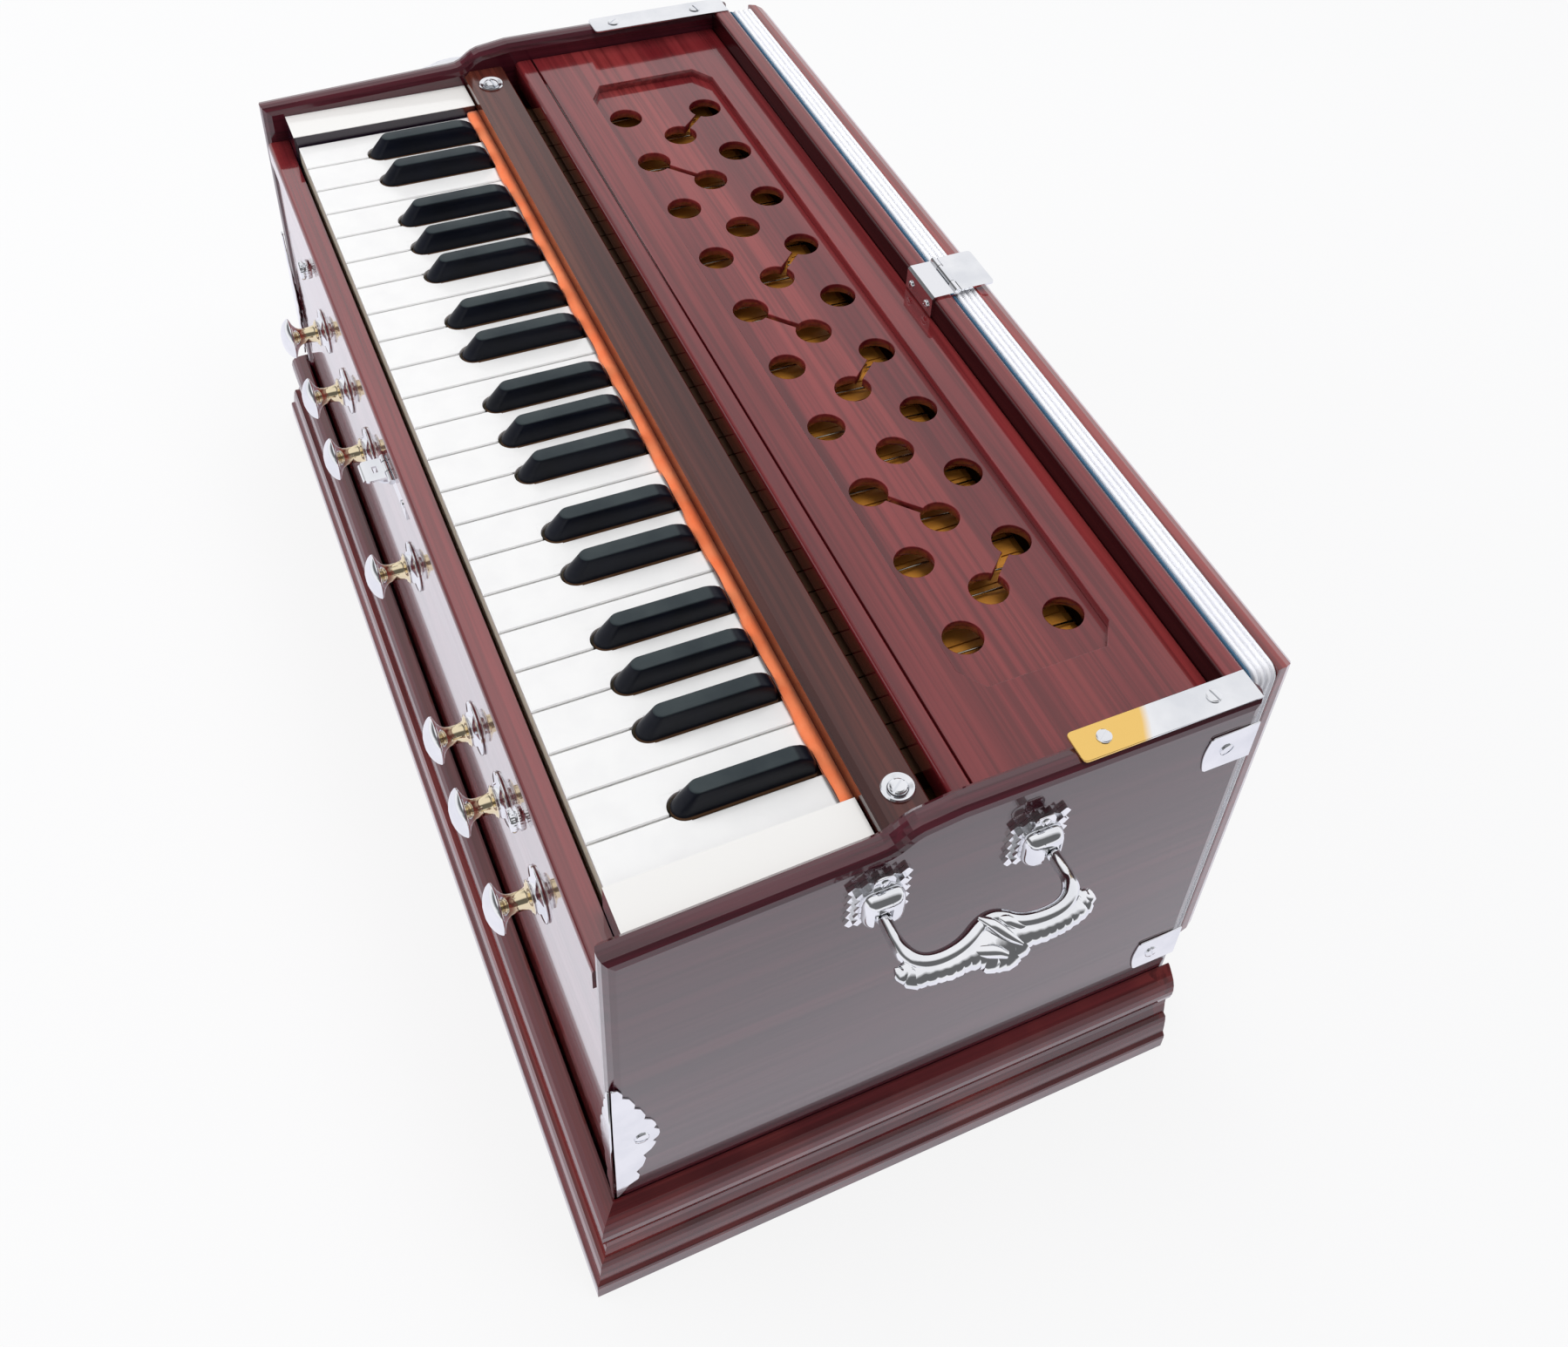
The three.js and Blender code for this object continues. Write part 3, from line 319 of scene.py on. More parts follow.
softbox("front_lamp", (-0.5, -1.3, 0.8), (0, 0, 0.18), (1.1, 0.8), 9)
softbox("top_lamp", (-0.1, 0.3, 1.9), (0, 0, 0.2), (1.8, 0.6), 18)
bpy.context.scene.view_settings.view_transform = "Standard"
print("stage ready")

# %% [markdown]
# Rosewood lacquer is three things: long fibres, darker streaks that wander along them,
# and a thick clear coat. The fibres are noise that is stretched along the board. Four
# boards run along the keyboard and the ends run front to back, so the finish takes the
# direction as a value. The coat is the shader's own second layer, which keeps the
# mirror sharp over the soft colour of the wood.


# %% Lacquered wood
def lacquer(name, tones, run="x", rough=0.16, streak=1.0, coat=1.0):
    """A lacquer's Finish, its x, y and z, its colour and the rest of its surface."""
    wood = Finish(name)
    here = wood.place()
    x, y, z = wood.parts(here)
    along = {"x": (1.2, 26.0, 26.0), "y": (26.0, 1.2, 26.0)}
    fine = {"x": (5.0, 340.0, 340.0), "y": (340.0, 5.0, 340.0)}

    def pattern(run):
        wide = wood.noise(wood.stretched(here, along[run]), 1.6, 4.0, 0.62, 0.4)
        thin = wood.noise(wood.stretched(here, fine[run]), 1.0, 2.0, 0.6)
        return wide, thin

    if run == "mitre":
        # The plinth is mitred: long fibres in front and behind, cross ones at the ends
        side = (abs(x) - 0.302 - (abs(y) - 0.1458)).above(0.0, 0.0002)
        wide_x, thin_x = pattern("x")
        wide_y, thin_y = pattern("y")
        wide = wide_x * (1 - side) + wide_y * side
        thin = thin_x * (1 - side) + thin_y * side
        run = "x"
    else:
        wide, thin = pattern(run)
    mood = wide.ramp((0.5 - 0.22 / streak, 0.0), (0.5 + 0.22 / streak, 1.0))
    colour = wood.blend(mood, tones[0], tones[1])
    patches = wood.stretched(here, tuple(v * 0.37 for v in along[run]))
    glow = wood.noise(patches, 2.3, 2.0)
    colour = wood.blend(glow.ramp((0.52, 0.0), (0.74, 0.85)), colour, tones[2])
    colour = wood.blend(thin.ramp((0.42, 0.0), (0.62, 0.55)), colour, tones[3])
    ripple = wood.noise(here, 9.0, 2.0)
    return wood, (x, y, z), colour, {
        "rough": thin.ramp((0.3, rough * 0.7), (0.7, rough * 1.3)),
        "coat": coat, "coat_rough": 0.03, "coat_ior": 1.5, "gloss": 0.2,
        "normal": wood.bump(thin * 0.25 + ripple * 0.9, 0.10, 0.0006),
    }


# Each wood has its ground, its streaks, its warm patches and its dark fibres
ROSEWOOD = [rgb(93, 22, 28), rgb(140, 50, 52), rgb(160, 66, 62), rgb(70, 16, 20)]
FOOTWOOD = [rgb(80, 19, 25), rgb(122, 43, 46), rgb(140, 57, 54), rgb(60, 14, 18)]
ENDWOOD = [rgb(58, 14, 26), rgb(92, 32, 44), rgb(108, 40, 50), rgb(46, 12, 20)]
DARKWOOD = [rgb(56, 22, 18), rgb(98, 46, 38), rgb(118, 62, 44), rgb(40, 14, 12)]
wood, _, colour, rest = lacquer("rosewood_long", ROSEWOOD)
rosewood_long = wood.surface(colour=colour, **rest)
wood, _, colour, rest = lacquer("rosewood_mitred", FOOTWOOD, "mitre", coat=0.65)
rosewood_mitred = wood.surface(colour=colour, **rest)
print("lacquers:", rosewood_long.name, rosewood_mitred.name)

# %% [markdown]
# Chrome is only as lively as what it mirrors. A very low roughness with a trace of
# uneven plating keeps it from looking like a computer's mirror. The stops were dipped
# in a thinner, yellower plating at the neck, and one plate has a painted reflection,
# brass-yellow, over its front.


# %% Chrome
def plating(name, warm=None, warm_colour=rgb(236, 216, 168), rough=0.06):
    chrome = Finish(name)
    here = chrome.place()
    clouds = chrome.noise(here, 60.0, 3.0)
    pits = chrome.noise(here, 900.0, 1.0)
    colour = chrome.blend(
        clouds.ramp((0.35, 0.0), (0.7, 1.0)), rgb(244, 245, 247), rgb(230, 232, 236)
    )
    if warm is not None:
        colour = chrome.blend(warm(chrome, here), colour, warm_colour)
    return chrome.surface(
        colour=colour, metal=1.0, rough=clouds.ramp((0.3, rough * 0.6), (0.7, rough * 1.5)),
        normal=chrome.bump(pits + clouds * 2.0, 0.05, 0.0002),
    )


def neck_of_stop(chrome, here):
    y = chrome.parts(here)[1]
    return y.above(depth(-13.45)) * y.below(depth(-2.75)) * 0.8


# Painted reflection: a brass-yellow patch over the front of a plate, with a ragged edge
def painted_reflection_patch(chrome, here):
    x, y, _ = chrome.parts(here)
    slant, middle = 0.35, 0.279  # the painted reflection ends askew across the middle of the plate
    ragged = y + chrome.noise(here, 30.0, 1.0) * 0.008 + x * slant
    return ragged.below(depth(228.0) + middle * slant, 0.002)


bright_chrome = plating("chrome_bright")
stop_chrome = plating("chrome_stops", neck_of_stop)
reflection_painted_chrome = plating("chrome_painted_reflection", painted_reflection_patch, rgb(248, 206, 120), 0.12)
print("platings:", bright_chrome.name, stop_chrome.name, reflection_painted_chrome.name)

# %% [markdown]
# An end panel, its cheek block beside the keys and its handle lugs are one solid, so
# one finish holds three of them and picks by place: outside the panel is chrome, the
# inside of the cheek is a white cap on a dark block, and the rest is lacquer.


# %% End panels
def dress(name, material):
    """Gives a solid one finish in place of the one it came with."""
    nodes[name].data.materials.clear()
    nodes[name].data.materials.append(material)


wood, (x, y, z), colour, rest = lacquer("end_panel", ENDWOOD, "y", rough=0.2)
rest["coat_ior"] = 1.56
outside = abs(x).above((CASE_HALF + 0.08) * MM, CRISP)
cheek = abs(x).below(0.2759, 0.00005)
cheek_top = cheek * z.above(0.2392, 0.0001)
colour = wood.blend(cheek, colour, rgb(38, 22, 40))
colour = wood.blend(cheek_top, colour, rgb(240, 238, 234))
colour = wood.blend(outside, colour, rgb(242, 243, 246))
end_panel = wood.surface(colour=colour, metal=outside, **rest)

for side, _ in ENDS:
    dress(side + "_end_panel", end_panel)
print("end panels dressed")

# %% [markdown]
# The keys. A white key is a wooden lever with a cream front and a white cap that stops
# under the felt. They are one solid, so the finish changes with height and with
# distance from the front. A black key gets a finer cap further down, and its finish
# here is that of its lever: dark in front of the felt and bare wood behind.


# %% Keys
def key_finish(name, rough, face):
    key = Finish(name)
    here = key.place()
    _, y, z = key.parts(here)
    grain = key.noise(key.stretched(here, (420.0, 9.0, 420.0)), 1.0, 3.0, 0.6)
    haze = key.noise(here, 70.0, 3.0)
    lever = key.blend(grain, rgb(184, 112, 36), rgb(226, 160, 66))
    channel = y.above(depth(133.0)) * y.below(depth(155.0))  # shaded behind the strip
    lever = key.blend(channel * 0.9, lever, rgb(44, 16, 16))
    behind = y.above(depth(113.2), 0.0001)
    return key.surface(
        colour=key.blend(behind, face(key, z, grain, haze), lever),
        rough=behind.ramp((0.0, rough), (1.0, 0.55)),
        coat=behind.ramp((0.0, 0.5), (1.0, 0.0)), coat_rough=0.12,
        normal=key.bump(haze * 0.6 + grain * behind, 0.12, 0.0003),
    )


def white_face(key, z, grain, haze):
    hazy = haze.ramp((0.4, 0.0), (0.75, 0.5))
    cap = key.blend(hazy, rgb(243, 242, 240), rgb(234, 233, 232))
    front = key.blend(grain, rgb(246, 234, 208), rgb(252, 244, 226))
    return key.blend(z.above(0.2310, 0.0001), front, cap)


def dark_face(key, z, grain, haze):
    return key.blend(grain, rgb(40, 20, 14), rgb(66, 36, 24))


white_cap = key_finish("key_cap_white", 0.28, white_face)
black_cap = key_finish("key_cap_black", 0.34, dark_face)
key_names = sorted(n for n in nodes if n.startswith("key_") and n != "key_strip")
for name in key_names:
    dress(name, black_cap if "sharp" in name else white_cap)
print("keys dressed:", len(key_names))

# %% [markdown]
# The case boards: the dark strip over the key tails, the reed deck inside, the rails
# and the bellows board. Where a board and its metal are one solid, the finish picks
# the metal by place. Solids that a finer piece stands in for are dressed as well.

# %% Case boards
wood, _, colour, rest = lacquer("dark_strip", DARKWOOD, rough=0.2, streak=1.4, coat=0.7)
dark_strip = wood.surface(colour=colour, **rest)

deck = Finish("deck_wood")
here = deck.place()
grain = deck.noise(deck.stretched(here, (6.0, 160.0, 160.0)), 1.0, 4.0, 0.6)
deck_wood = deck.surface(
    colour=deck.blend(grain, rgb(92, 62, 24), rgb(150, 108, 48)),
    rough=grain.ramp((0.3, 0.45), (0.7, 0.65)),
    normal=deck.bump(grain, 0.2, 0.0004),
)

# The rear wall carries the fixed half of the latch, and the bellows board its hinges
wood, (x, y, z), colour, rest = lacquer("rear_boards", ROSEWOOD)
latch_flange = y.below(depth(266.88), CRISP) * z.above(0.2494, CRISP)
latch = x.near(0.004, 0.01405) * z.above(0.2611, CRISP).larger(latch_flange)
board_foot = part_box("bellows_folds")[0][2]
hinges = abs(x).near(0.167, 0.0225) * z.below(board_foot - 0.0001, CRISP)
metal = latch.larger(hinges * y.above(depth(277.25), CRISP))
# Painted shade on the face of the rear rail above the sound board: darker, less coat
painted_shade_recess = 1 - y.ramp((depth(266.9), 0.0), (depth(268.6), 1.0))
colour = wood.blend(painted_shade_recess * 0.92, colour, rgb(20, 2, 5))
colour = wood.blend(metal, colour, rgb(240, 241, 244))
rest["coat"] = 1 - painted_shade_recess * (1 - metal) * 0.85
rear_boards = wood.surface(colour=colour, metal=metal, **rest)

wood, (x, y, z), colour, rest = lacquer("front_boards", ROSEWOOD)
plate = x.near(-0.006, 0.0171) * y.below(depth(1.45), CRISP)
plate = plate * z.above(0.196, 0.0001) * z.below(0.21185, CRISP)
colour = wood.blend(plate, colour, rgb(226, 228, 232))
rest["coat_ior"] = 1.9  # the board takes a deeper polish than the rest
front_boards = wood.surface(colour=colour, metal=plate, **rest)

dressing = {
    "plinth": rosewood_mitred, "front_board": front_boards, "key_strip": dark_strip,
    "top_board": rosewood_long, "rear_wall": rear_boards, "bellows_board": rear_boards,
    "reed_deck": deck_wood, "hasp_leaf": bright_chrome, "latch_leaf": bright_chrome,
    "treble_handle": bright_chrome, "bass_handle": bright_chrome,
}
dressing.update({name: stop_chrome for name in nodes if name.startswith("stop_knob")})
for name, material in dressing.items():
    dress(name, material)
print("boards and metal dressed:", len(dressing))

# %% [markdown]
# Added pieces all end the same way: a mesh or curve is linked, takes a finish and its
# slot, and rides on the body that carries it when one is given. A few builders cover
# most of them: a skin over a row of rings, a turned form from a profile, and an arc for
# outlines.


# %% Builders
def finish_piece(obj, material, body=None, smooth=True):
    if obj.name not in bpy.context.scene.collection.objects:
        bpy.context.scene.collection.objects.link(obj)
    obj.data.materials.append(material)
    if smooth and obj.type == "MESH":
        obj.data.shade_smooth()
    if body:
        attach(obj, body)
    return obj


def mesh_piece(name, build, *values):
    """An object whose mesh is built by a function, from the values that follow it."""
    form = bmesh.new()
    build(form, *values)
    bmesh.ops.recalc_face_normals(form, faces=form.faces)
    mesh = bpy.data.meshes.new(name)
    form.to_mesh(mesh)
    form.free()
    return bpy.data.objects.new(name, mesh)


def whole(form):
    return form.verts[:] + form.edges[:] + form.faces[:]


def cut_off(form, spot, outwards):
    """Takes away what lies beyond a plane, and closes the cut."""
    bmesh.ops.bisect_plane(
        form, geom=whole(form), plane_co=spot, plane_no=outwards, clear_outer=True
    )
    bmesh.ops.holes_fill(form, edges=[e for e in form.edges if e.is_boundary])


def skin(form, rings, closed=True):
    """Faces from each ring to the next, and over both ends of a closed form."""
    for a, b in zip(rings, rings[1:]):
        for k in range(len(a)):
            n = (k + 1) % len(a)
            form.faces.new((a[k], a[n], b[n], b[k]))
    if closed:
        form.faces.new(rings[0])
        form.faces.new(rings[-1][::-1])


def wheel(count):
    """Cosine and sine of evenly spaced angles, once round."""
    angles = [2 * math.pi * k / count for k in range(count)]
    return [(math.cos(a), math.sin(a)) for a in angles]


def arc(centre, radius, start, end, steps=28):
    """Points from one angle to another, in degrees."""
    angles = [math.radians(start + (end - start) * k / steps) for k in range(steps + 1)]
    return [
        (centre[0] + radius * math.cos(a), centre[1] + radius * math.sin(a)) for a in angles
    ]


def turn(form, profile, centre, axis, sides=48):
    """A turned form: (radius, height) pairs in millimetres, round an axis.

    A profile that ends where it starts is a hoop, and gets no discs at its ends.
    """
    hoop = profile[0] == profile[-1]
    axis = Vector(axis).normalized()
    across = axis.orthogonal().normalized()
    beside = axis.cross(across)
    rings = []
    for radius, rise in profile[:-1] if hoop else profile:
        middle = centre + axis * (rise * MM)
        size = radius * MM
        spokes = wheel(sides) if radius > 0.0001 else [(0.0, 0.0)]
        rings.append([
            form.verts.new(middle + across * (size * c) + beside * (size * s))
            for c, s in spokes
        ])
    for low, high in zip(rings, rings[1:] + (rings[:1] if hoop else [])):
        for k in range(sides):
            n = (k + 1) % sides
            if len(low) == 1:
                form.faces.new((low[0], high[k], high[n]))
            elif len(high) == 1:
                form.faces.new((low[k], low[n], high[0]))
            else:
                form.faces.new((low[k], low[n], high[n], high[k]))
    for ring in () if hoop else (rings[0], rings[-1]):
        if len(ring) > 1:
            form.faces.new(ring)


print("builders ready")

# %% [markdown]
# A slotted screw is a low dome with a groove across it. Cutting the groove with a
# boolean would be slow for dozens of screws, so each head is built as two halves that
# stop either side of the groove, over a thin disc that is the groove's floor.


# %% Screws
def half_dome(form, centre, axis, radius, rise, angle, side):
    part = bmesh.new()
    profile = [(radius, 0.0)] + [
        (radius * math.cos(a), rise * (0.35 + 0.65 * math.sin(a)))
        for a in [math.radians(k) for k in (0, 15, 30, 45, 60, 75)]
    ] + [(0.0, rise)]
    turn(part, profile, Vector((0, 0, 0)), (0, 0, 1), 28)
    bmesh.ops.recalc_face_normals(part, faces=part.faces)
    across = Vector((math.cos(angle), math.sin(angle), 0)) * side
    cut_off(part, across * (radius * 0.14 * MM), -across)
    spin = Vector((0, 0, 1)).rotation_difference(Vector(axis)).to_matrix().to_4x4()
    part.transform(Matrix.Translation(centre) @ spin)
    scratch = bpy.data.meshes.new("scratch")
    part.to_mesh(scratch)
    part.free()
    form.from_mesh(scratch)
    bpy.data.meshes.remove(scratch)


def screw_set(name, places, axis, radius, rise, washer=None):
    """Slotted heads at several places on one face; given a washer size, a cup washer goes
    under each.
    """

    def build(form):
        for k, place in enumerate(places):
            for side in (1, -1):
                half_dome(form, place, axis, radius, rise, math.radians(35 + 67 * k), side)
            edge, floor = radius * 0.97, rise * 0.3
            turn(form, [(0.0, 0.0), (edge, 0.0), (edge, floor), (0.0, floor)],
                 place, axis, 28)
            if washer:
                bore = radius * 1.02
                turn(form, [(bore, 0.0), (washer, 0.0), (washer, rise * 0.25),
                            (washer * 0.93, rise * 0.5), (washer * 0.86, rise * 0.45),
                            (radius * 1.08, rise * 0.2), (bore, 0.0)], place, axis, 40)

    piece = mesh_piece(name, build)
    return finish_piece(piece, bright_chrome, "case", smooth=False)


STRIP_TOP = 248.02
strip_screws = screw_set(
    "strip_screws", [at(261.7, 127, STRIP_TOP), at(-258.5, 124.6, STRIP_TOP)], (0, 0, 1),
    4.0, 2.6, washer=6.9,
)
print("strip screws:", len(strip_screws.data.polygons), "faces")

# %% [markdown]
# The stops. Each is a turned brass knob on a round plate, and pulls straight out. The
# solid has the right profile with few sides, so a finer turning with the same radii
# and lengths replaces it. Rings are turned into the neck, where the plating is thin.

# %% Stops
STOP_SHARES = [
    (1, 0), (1, 0.03), (0.97, 0.045), (0.64, 0.07), (0.62, 0.115), (0.56, 0.125),
    (0.56, 0.145), (0.6, 0.155), (0.6, 0.18), (0.52, 0.19), (0.5, 0.21), (0.4, 0.22),
    (0.37, 0.26), (0.34, 0.36), (0.33, 0.48), (0.36, 0.57), (0.44, 0.635), (0.58, 0.69),
    (0.76, 0.73), (0.86, 0.75), (0.88, 0.77), (0.88, 0.785), (0.86, 0.805), (0.78, 0.86),
    (0.64, 0.915), (0.46, 0.96), (0.25, 0.99), (0.0, 1.0),
]
STOP_RADIUS, STOP_LENGTH = 12.5, 23.2
SHAFT = [(0.0, -43.9), (3.4, -43.9), (3.5, -43.5), (3.5, -0.3), (12.2, -0.3)]
BOARD_FACE, STOP_HEIGHT = 1.2, 162.5


def build_stop(form, x):
    head = [(r * STOP_RADIUS, s * STOP_LENGTH) for r, s in STOP_SHARES]
    turn(form, SHAFT + head, at(x, BOARD_FACE, STOP_HEIGHT), (0, -1, 0), 56)


stop_places = [-180, -128, -79, 7, 110.5, 151, 201]
for k, x in enumerate(stop_places):
    node = f"stop_knob_{k + 1}"
    knob = mesh_piece("stop_" + str(k + 1), build_stop, x)
    finish_piece(knob, stop_chrome, node)
    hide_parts(node)
low_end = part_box("stop_knob_1")[0]
print("stops:", len(stop_places), "ends at", [round(v, 4) for v in low_end])

# %% [markdown]
# The sound board is a frame with a sunken field, and the field is pierced with round
# holes, some of them joined in pairs by a slot. A flat outline with holes in it is what
# a 2D curve is made for: it is filled, thickened and given a tiny eased edge by its own
# settings, and each joined pair is one outline so that no two outlines cross.


# %% Sound board outlines
def joined_pair(a, b, radius, slot):
    heading = math.degrees(math.atan2(b[1] - a[1], b[0] - a[0]))
    half = math.degrees(math.asin(slot / 2 / radius))
    return (
        arc(a, radius, heading + half, heading + 360 - half)
        + arc(b, radius, heading + 180 + half, heading + 540 - half)
    )


def cut_plate(name, outlines, low, high, ease=0.25, front=FRONT):
    """A plate between two heights from outlines in x and y, holes included."""
    curve = bpy.data.curves.new(name, "CURVE")
    curve.dimensions = "2D"
    curve.fill_mode = "BOTH"
    curve.extrude = (high - low) / 2 * MM - ease * MM
    curve.bevel_depth = ease * MM
    curve.bevel_resolution = 1
    curve.offset = -ease * MM
    for outline in outlines:
        spline = curve.splines.new("POLY")
        spline.points.add(len(outline) - 1)
        for point, (x, y) in zip(spline.points, outline):
            point.co = (x * MM, (y - front) * MM, 0, 1)
        spline.use_cyclic_u = True
    holder = bpy.data.objects.new(name + "_curve", curve)
    bpy.context.scene.collection.objects.link(holder)
    holder.location.z = (low + high) / 2 * MM
    bpy.context.view_layer.update()
    shape = bpy.data.meshes.new_from_object(
        holder.evaluated_get(bpy.context.evaluated_depsgraph_get())
    )
    shape.name = name
    shape.transform(holder.matrix_world)
    bpy.data.objects.remove(holder)
    return bpy.data.objects.new(name, shape)


HOLE_RADIUS, HOLE_PITCH, SLOT_WIDTH = 8.9, 45.5, 3.0
rows = [(186.9, -2.0, 10), (210.0, 0.8, 9), (233.1, 2.2, 10)]  # place, shift, count
holes = [
    [(shift + (k - (count - 1) / 2) * HOLE_PITCH, y) for k in range(count)]
    for y, shift, count in rows
]
# The row, the hole in it and the hole in the middle row that a slot joins to it
joins = [(2, 0, 0), (0, 1, 1), (2, 3, 3), (0, 4, 4), (2, 5, 5), (0, 7, 7), (2, 8, 8)]
taken = set()
field_holes = []
for row, outer, inner in joins:
    field_holes.append(
        joined_pair(holes[row][outer], holes[1][inner], HOLE_RADIUS, SLOT_WIDTH)
    )
    taken |= {(row, outer), (1, inner)}
for row in range(3):
    for k, centre in enumerate(holes[row]):
        if (row, k) not in taken:
            field_holes.append(arc(centre, HOLE_RADIUS, 0, 360, 44)[:-1])
print("outlines in the field:", len(field_holes))

# %% [markdown]
# The frame of the sound board is a second plate, with the field cut out of it and its
# corners clipped.


# %% Sound board
def rectangle(x0, x1, y0, y1):
    return [(x0, y0), (x1, y0), (x1, y1), (x0, y1)]


def clipped(x0, x1, y0, y1, long_cut=12, short_cut=8):
    return [
        (x0 + long_cut, y0), (x1 - long_cut, y0), (x1, y0 + short_cut),
        (x1, y1 - short_cut), (x1 - long_cut, y1), (x0 + long_cut, y1),
        (x0, y1 - short_cut), (x0, y0 + short_cut),
    ]


BOARD_HALF, BOARD_TOP = 275.7, 249.0  # half the length of the sound board, and its top
LAP = 0.2  # the field runs into the frame round it by this
x0, x1, y0, y1 = -236.5, 232.5, 173.7, 246.3
rim = cut_plate(
    "sound_board_rim",
    [rectangle(-BOARD_HALF, BOARD_HALF, 154.2, 266.6), clipped(x0, x1, y0, y1)],
    239.0, BOARD_TOP, 0.3,
)
finish_piece(rim, rosewood_long, "case", smooth=False)
board = cut_plate(
    "sound_board_field",
    [clipped(x0 - LAP, x1 + LAP, y0 - LAP, y1 + LAP)] + field_holes, 239.2, 244.3, 0.3,
)
finish_piece(board, rosewood_long, "case", smooth=False)
for plate in (rim, board):
    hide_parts("top_board")
print("sound board faces:", len(rim.data.polygons) + len(board.data.polygons))

# %% [markdown]
# The moulding in front of the sound board is drawn once as a section and swept along
# the case, which keeps its fine groove crisp. The battens under both ends of the board
# are swept too. With the two plates they stand in for the solid board.


# %% Moulding
def sweep_x(form, section, x0, x1):
    """A section of (y, z) points in millimetres swept along the case."""
    skin(form, [[form.verts.new(at(x, y, z)) for y, z in section] for x in (x0, x1)])


def build_moulding(form):
    edge = 2.4  # radius of the rounded front edge
    ridge = [(144.0, 235.6), (144.0, BOARD_TOP - edge)]
    ridge += arc((144.0 + edge, BOARD_TOP - edge), edge, 170, 90, 5)
    ridge += [(152.9, BOARD_TOP), (153.4, 248.5), (153.4, 244.9), (154.5, 244.9),
              (154.5, 239.0), (153.4, 235.6)]
    sweep_x(form, ridge, -BOARD_HALF, BOARD_HALF)
    for _, sign in ENDS:
        inner, outer = sorted((sign * 268.7, sign * 255.7))
        sweep_x(form, rectangle(160.0, 260.0, 213.0, 239.1), inner, outer)


moulding = mesh_piece("sound_board_moulding", build_moulding)
finish_piece(moulding, rosewood_long, "case", smooth=False)
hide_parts("top_board")
print("moulding faces:", len(moulding.data.polygons))

# %% [markdown]
# The felt. A strip of orange felt peeps out from under the dark strip, and its cut
# edge wanders by less than a millimetre. It is a thin grid over the wooden lip, with
# the front edge moved by a slow wave and the fuzz left to the finish.

# %% Felt
felt = Finish("orange_felt")
here = felt.place()
fuzz = felt.noise(here, 1400.0, 3.0, 0.7)
faded = felt.noise(here, 90.0, 3.0).ramp((0.3, 0.0), (0.7, 1.0))
felt_orange = felt.surface(
    colour=felt.blend(faded, rgb(255, 126, 76), rgb(255, 148, 100)),
    rough=0.95, gloss=0.2, sheen=0.2, normal=felt.bump(fuzz, 0.5, 0.0006),
)


def build_felt(form):
    count, length = 220, 506.8
    back, underside = 113.9, 233.75
    rings = []
    for k in range(count + 1):
        x = length * (k / count - 0.5)
        wave = (0.35 * math.sin(x * 0.11) + 0.25 * math.sin(x * 0.043 + 1.3)
                + 0.18 * math.sin(x * 0.31 + 0.4))
        front = 107.6 + 0.45 + wave * 0.9
        section = [(front + 0.2, underside), (front, 234.4), (front + 0.1, 235.4),
                   (front + 0.7, 236.0), (front + 2.5, 236.25), (back, 236.3),
                   (back, underside)]
        rings.append([form.verts.new(at(x, y, z)) for y, z in section])
    skin(form, rings)


felt_strip = mesh_piece("felt_strip", build_felt)
finish_piece(felt_strip, felt_orange, "case")
print("felt faces:", len(felt_strip.data.polygons))

# %% [markdown]
# Each key is held up by a thin spring wire that lies along its lever. The wires are
# what glints through the sound holes. A wire is a poly curve with a round section, and
# it rides on its key so that it dips with it.

# %% Spring wires
steel = Finish("spring_steel")
dull = steel.noise(steel.place(), 300.0, 2.0)
spring_steel = steel.surface(
    colour=steel.blend(dull, rgb(206, 200, 186), rgb(160, 152, 134)), metal=1.0,
    rough=dull.ramp((0.3, 0.18), (0.7, 0.35)), normal=steel.bump(dull, 0.1, 0.0002),
)


def wire(name, points, body):
    curve = bpy.data.curves.new(name, "CURVE")
    curve.dimensions = "3D"
    curve.bevel_depth = 0.55 * MM
    curve.bevel_resolution = 3
    curve.use_fill_caps = True
    spline = curve.splines.new("POLY")
    spline.points.add(len(points) - 1)
    for point, place in zip(spline.points, points):
        point.co = (*place, 1)
    finish_piece(bpy.data.objects.new(name, curve), spring_steel, body)


for k, name in enumerate(key_names):
    tail = [v.co.x for v in nodes[name].data.vertices if v.co.y > 0.06]
    middle = (min(tail) + max(tail)) / 2 / MM
    lean = 1.1 * math.sin(k * 2.4)  # no two wires are bent alike
    foot, tip = middle - 1.2, middle + lean * 2
    route = [at(foot, 163.0, 231.5), at(foot, 163.6, 233.0),
             at(middle - 0.6 + lean, 205.0, 233.6), at(tip, 242.0, 232.6),
             at(tip, 242.8, 231.2)]
    wire("spring_wire_" + str(k + 1), route, name)
print("wires:", len(key_names))

# %% [markdown]
# A black key is a bar of dark polish with a nose that is round in plan, a straight
# slope up to a flat top and a tail that rolls down to the felt. The solid is squarer, so
# a finer cap is lofted through level outlines: each outline has its own front, back and
# half width, and the nose is a half ellipse. The lever below is the solid itself, copied,
# cut off level and rounded in front like the nose. Both stand in for the solid.


# %% Black caps
CAP_LEVELS = [  # height, front, back, half width
    (231.3, 47.8, 107.4, 5.7), (233.3, 47.9, 107.4, 5.36), (234.2, 48.3, 107.3, 5.2),
    (236.2, 49.7, 107.1, 4.85), (238.4, 51.4, 106.6, 4.47), (240.3, 52.9, 105.5, 4.14),
    (241.7, 54.0, 103.7, 3.9), (242.9, 54.9, 101.2, 3.68), (243.4, 55.4, 99.4, 3.54),
    (243.66, 55.8, 98.4, 3.36), (243.74, 56.5, 97.4, 3.05),
]
NOSE = 1.05  # length of a nose as a share of its half width
CAP_FRONT, LEVER_TOP = 47.9, 231.05


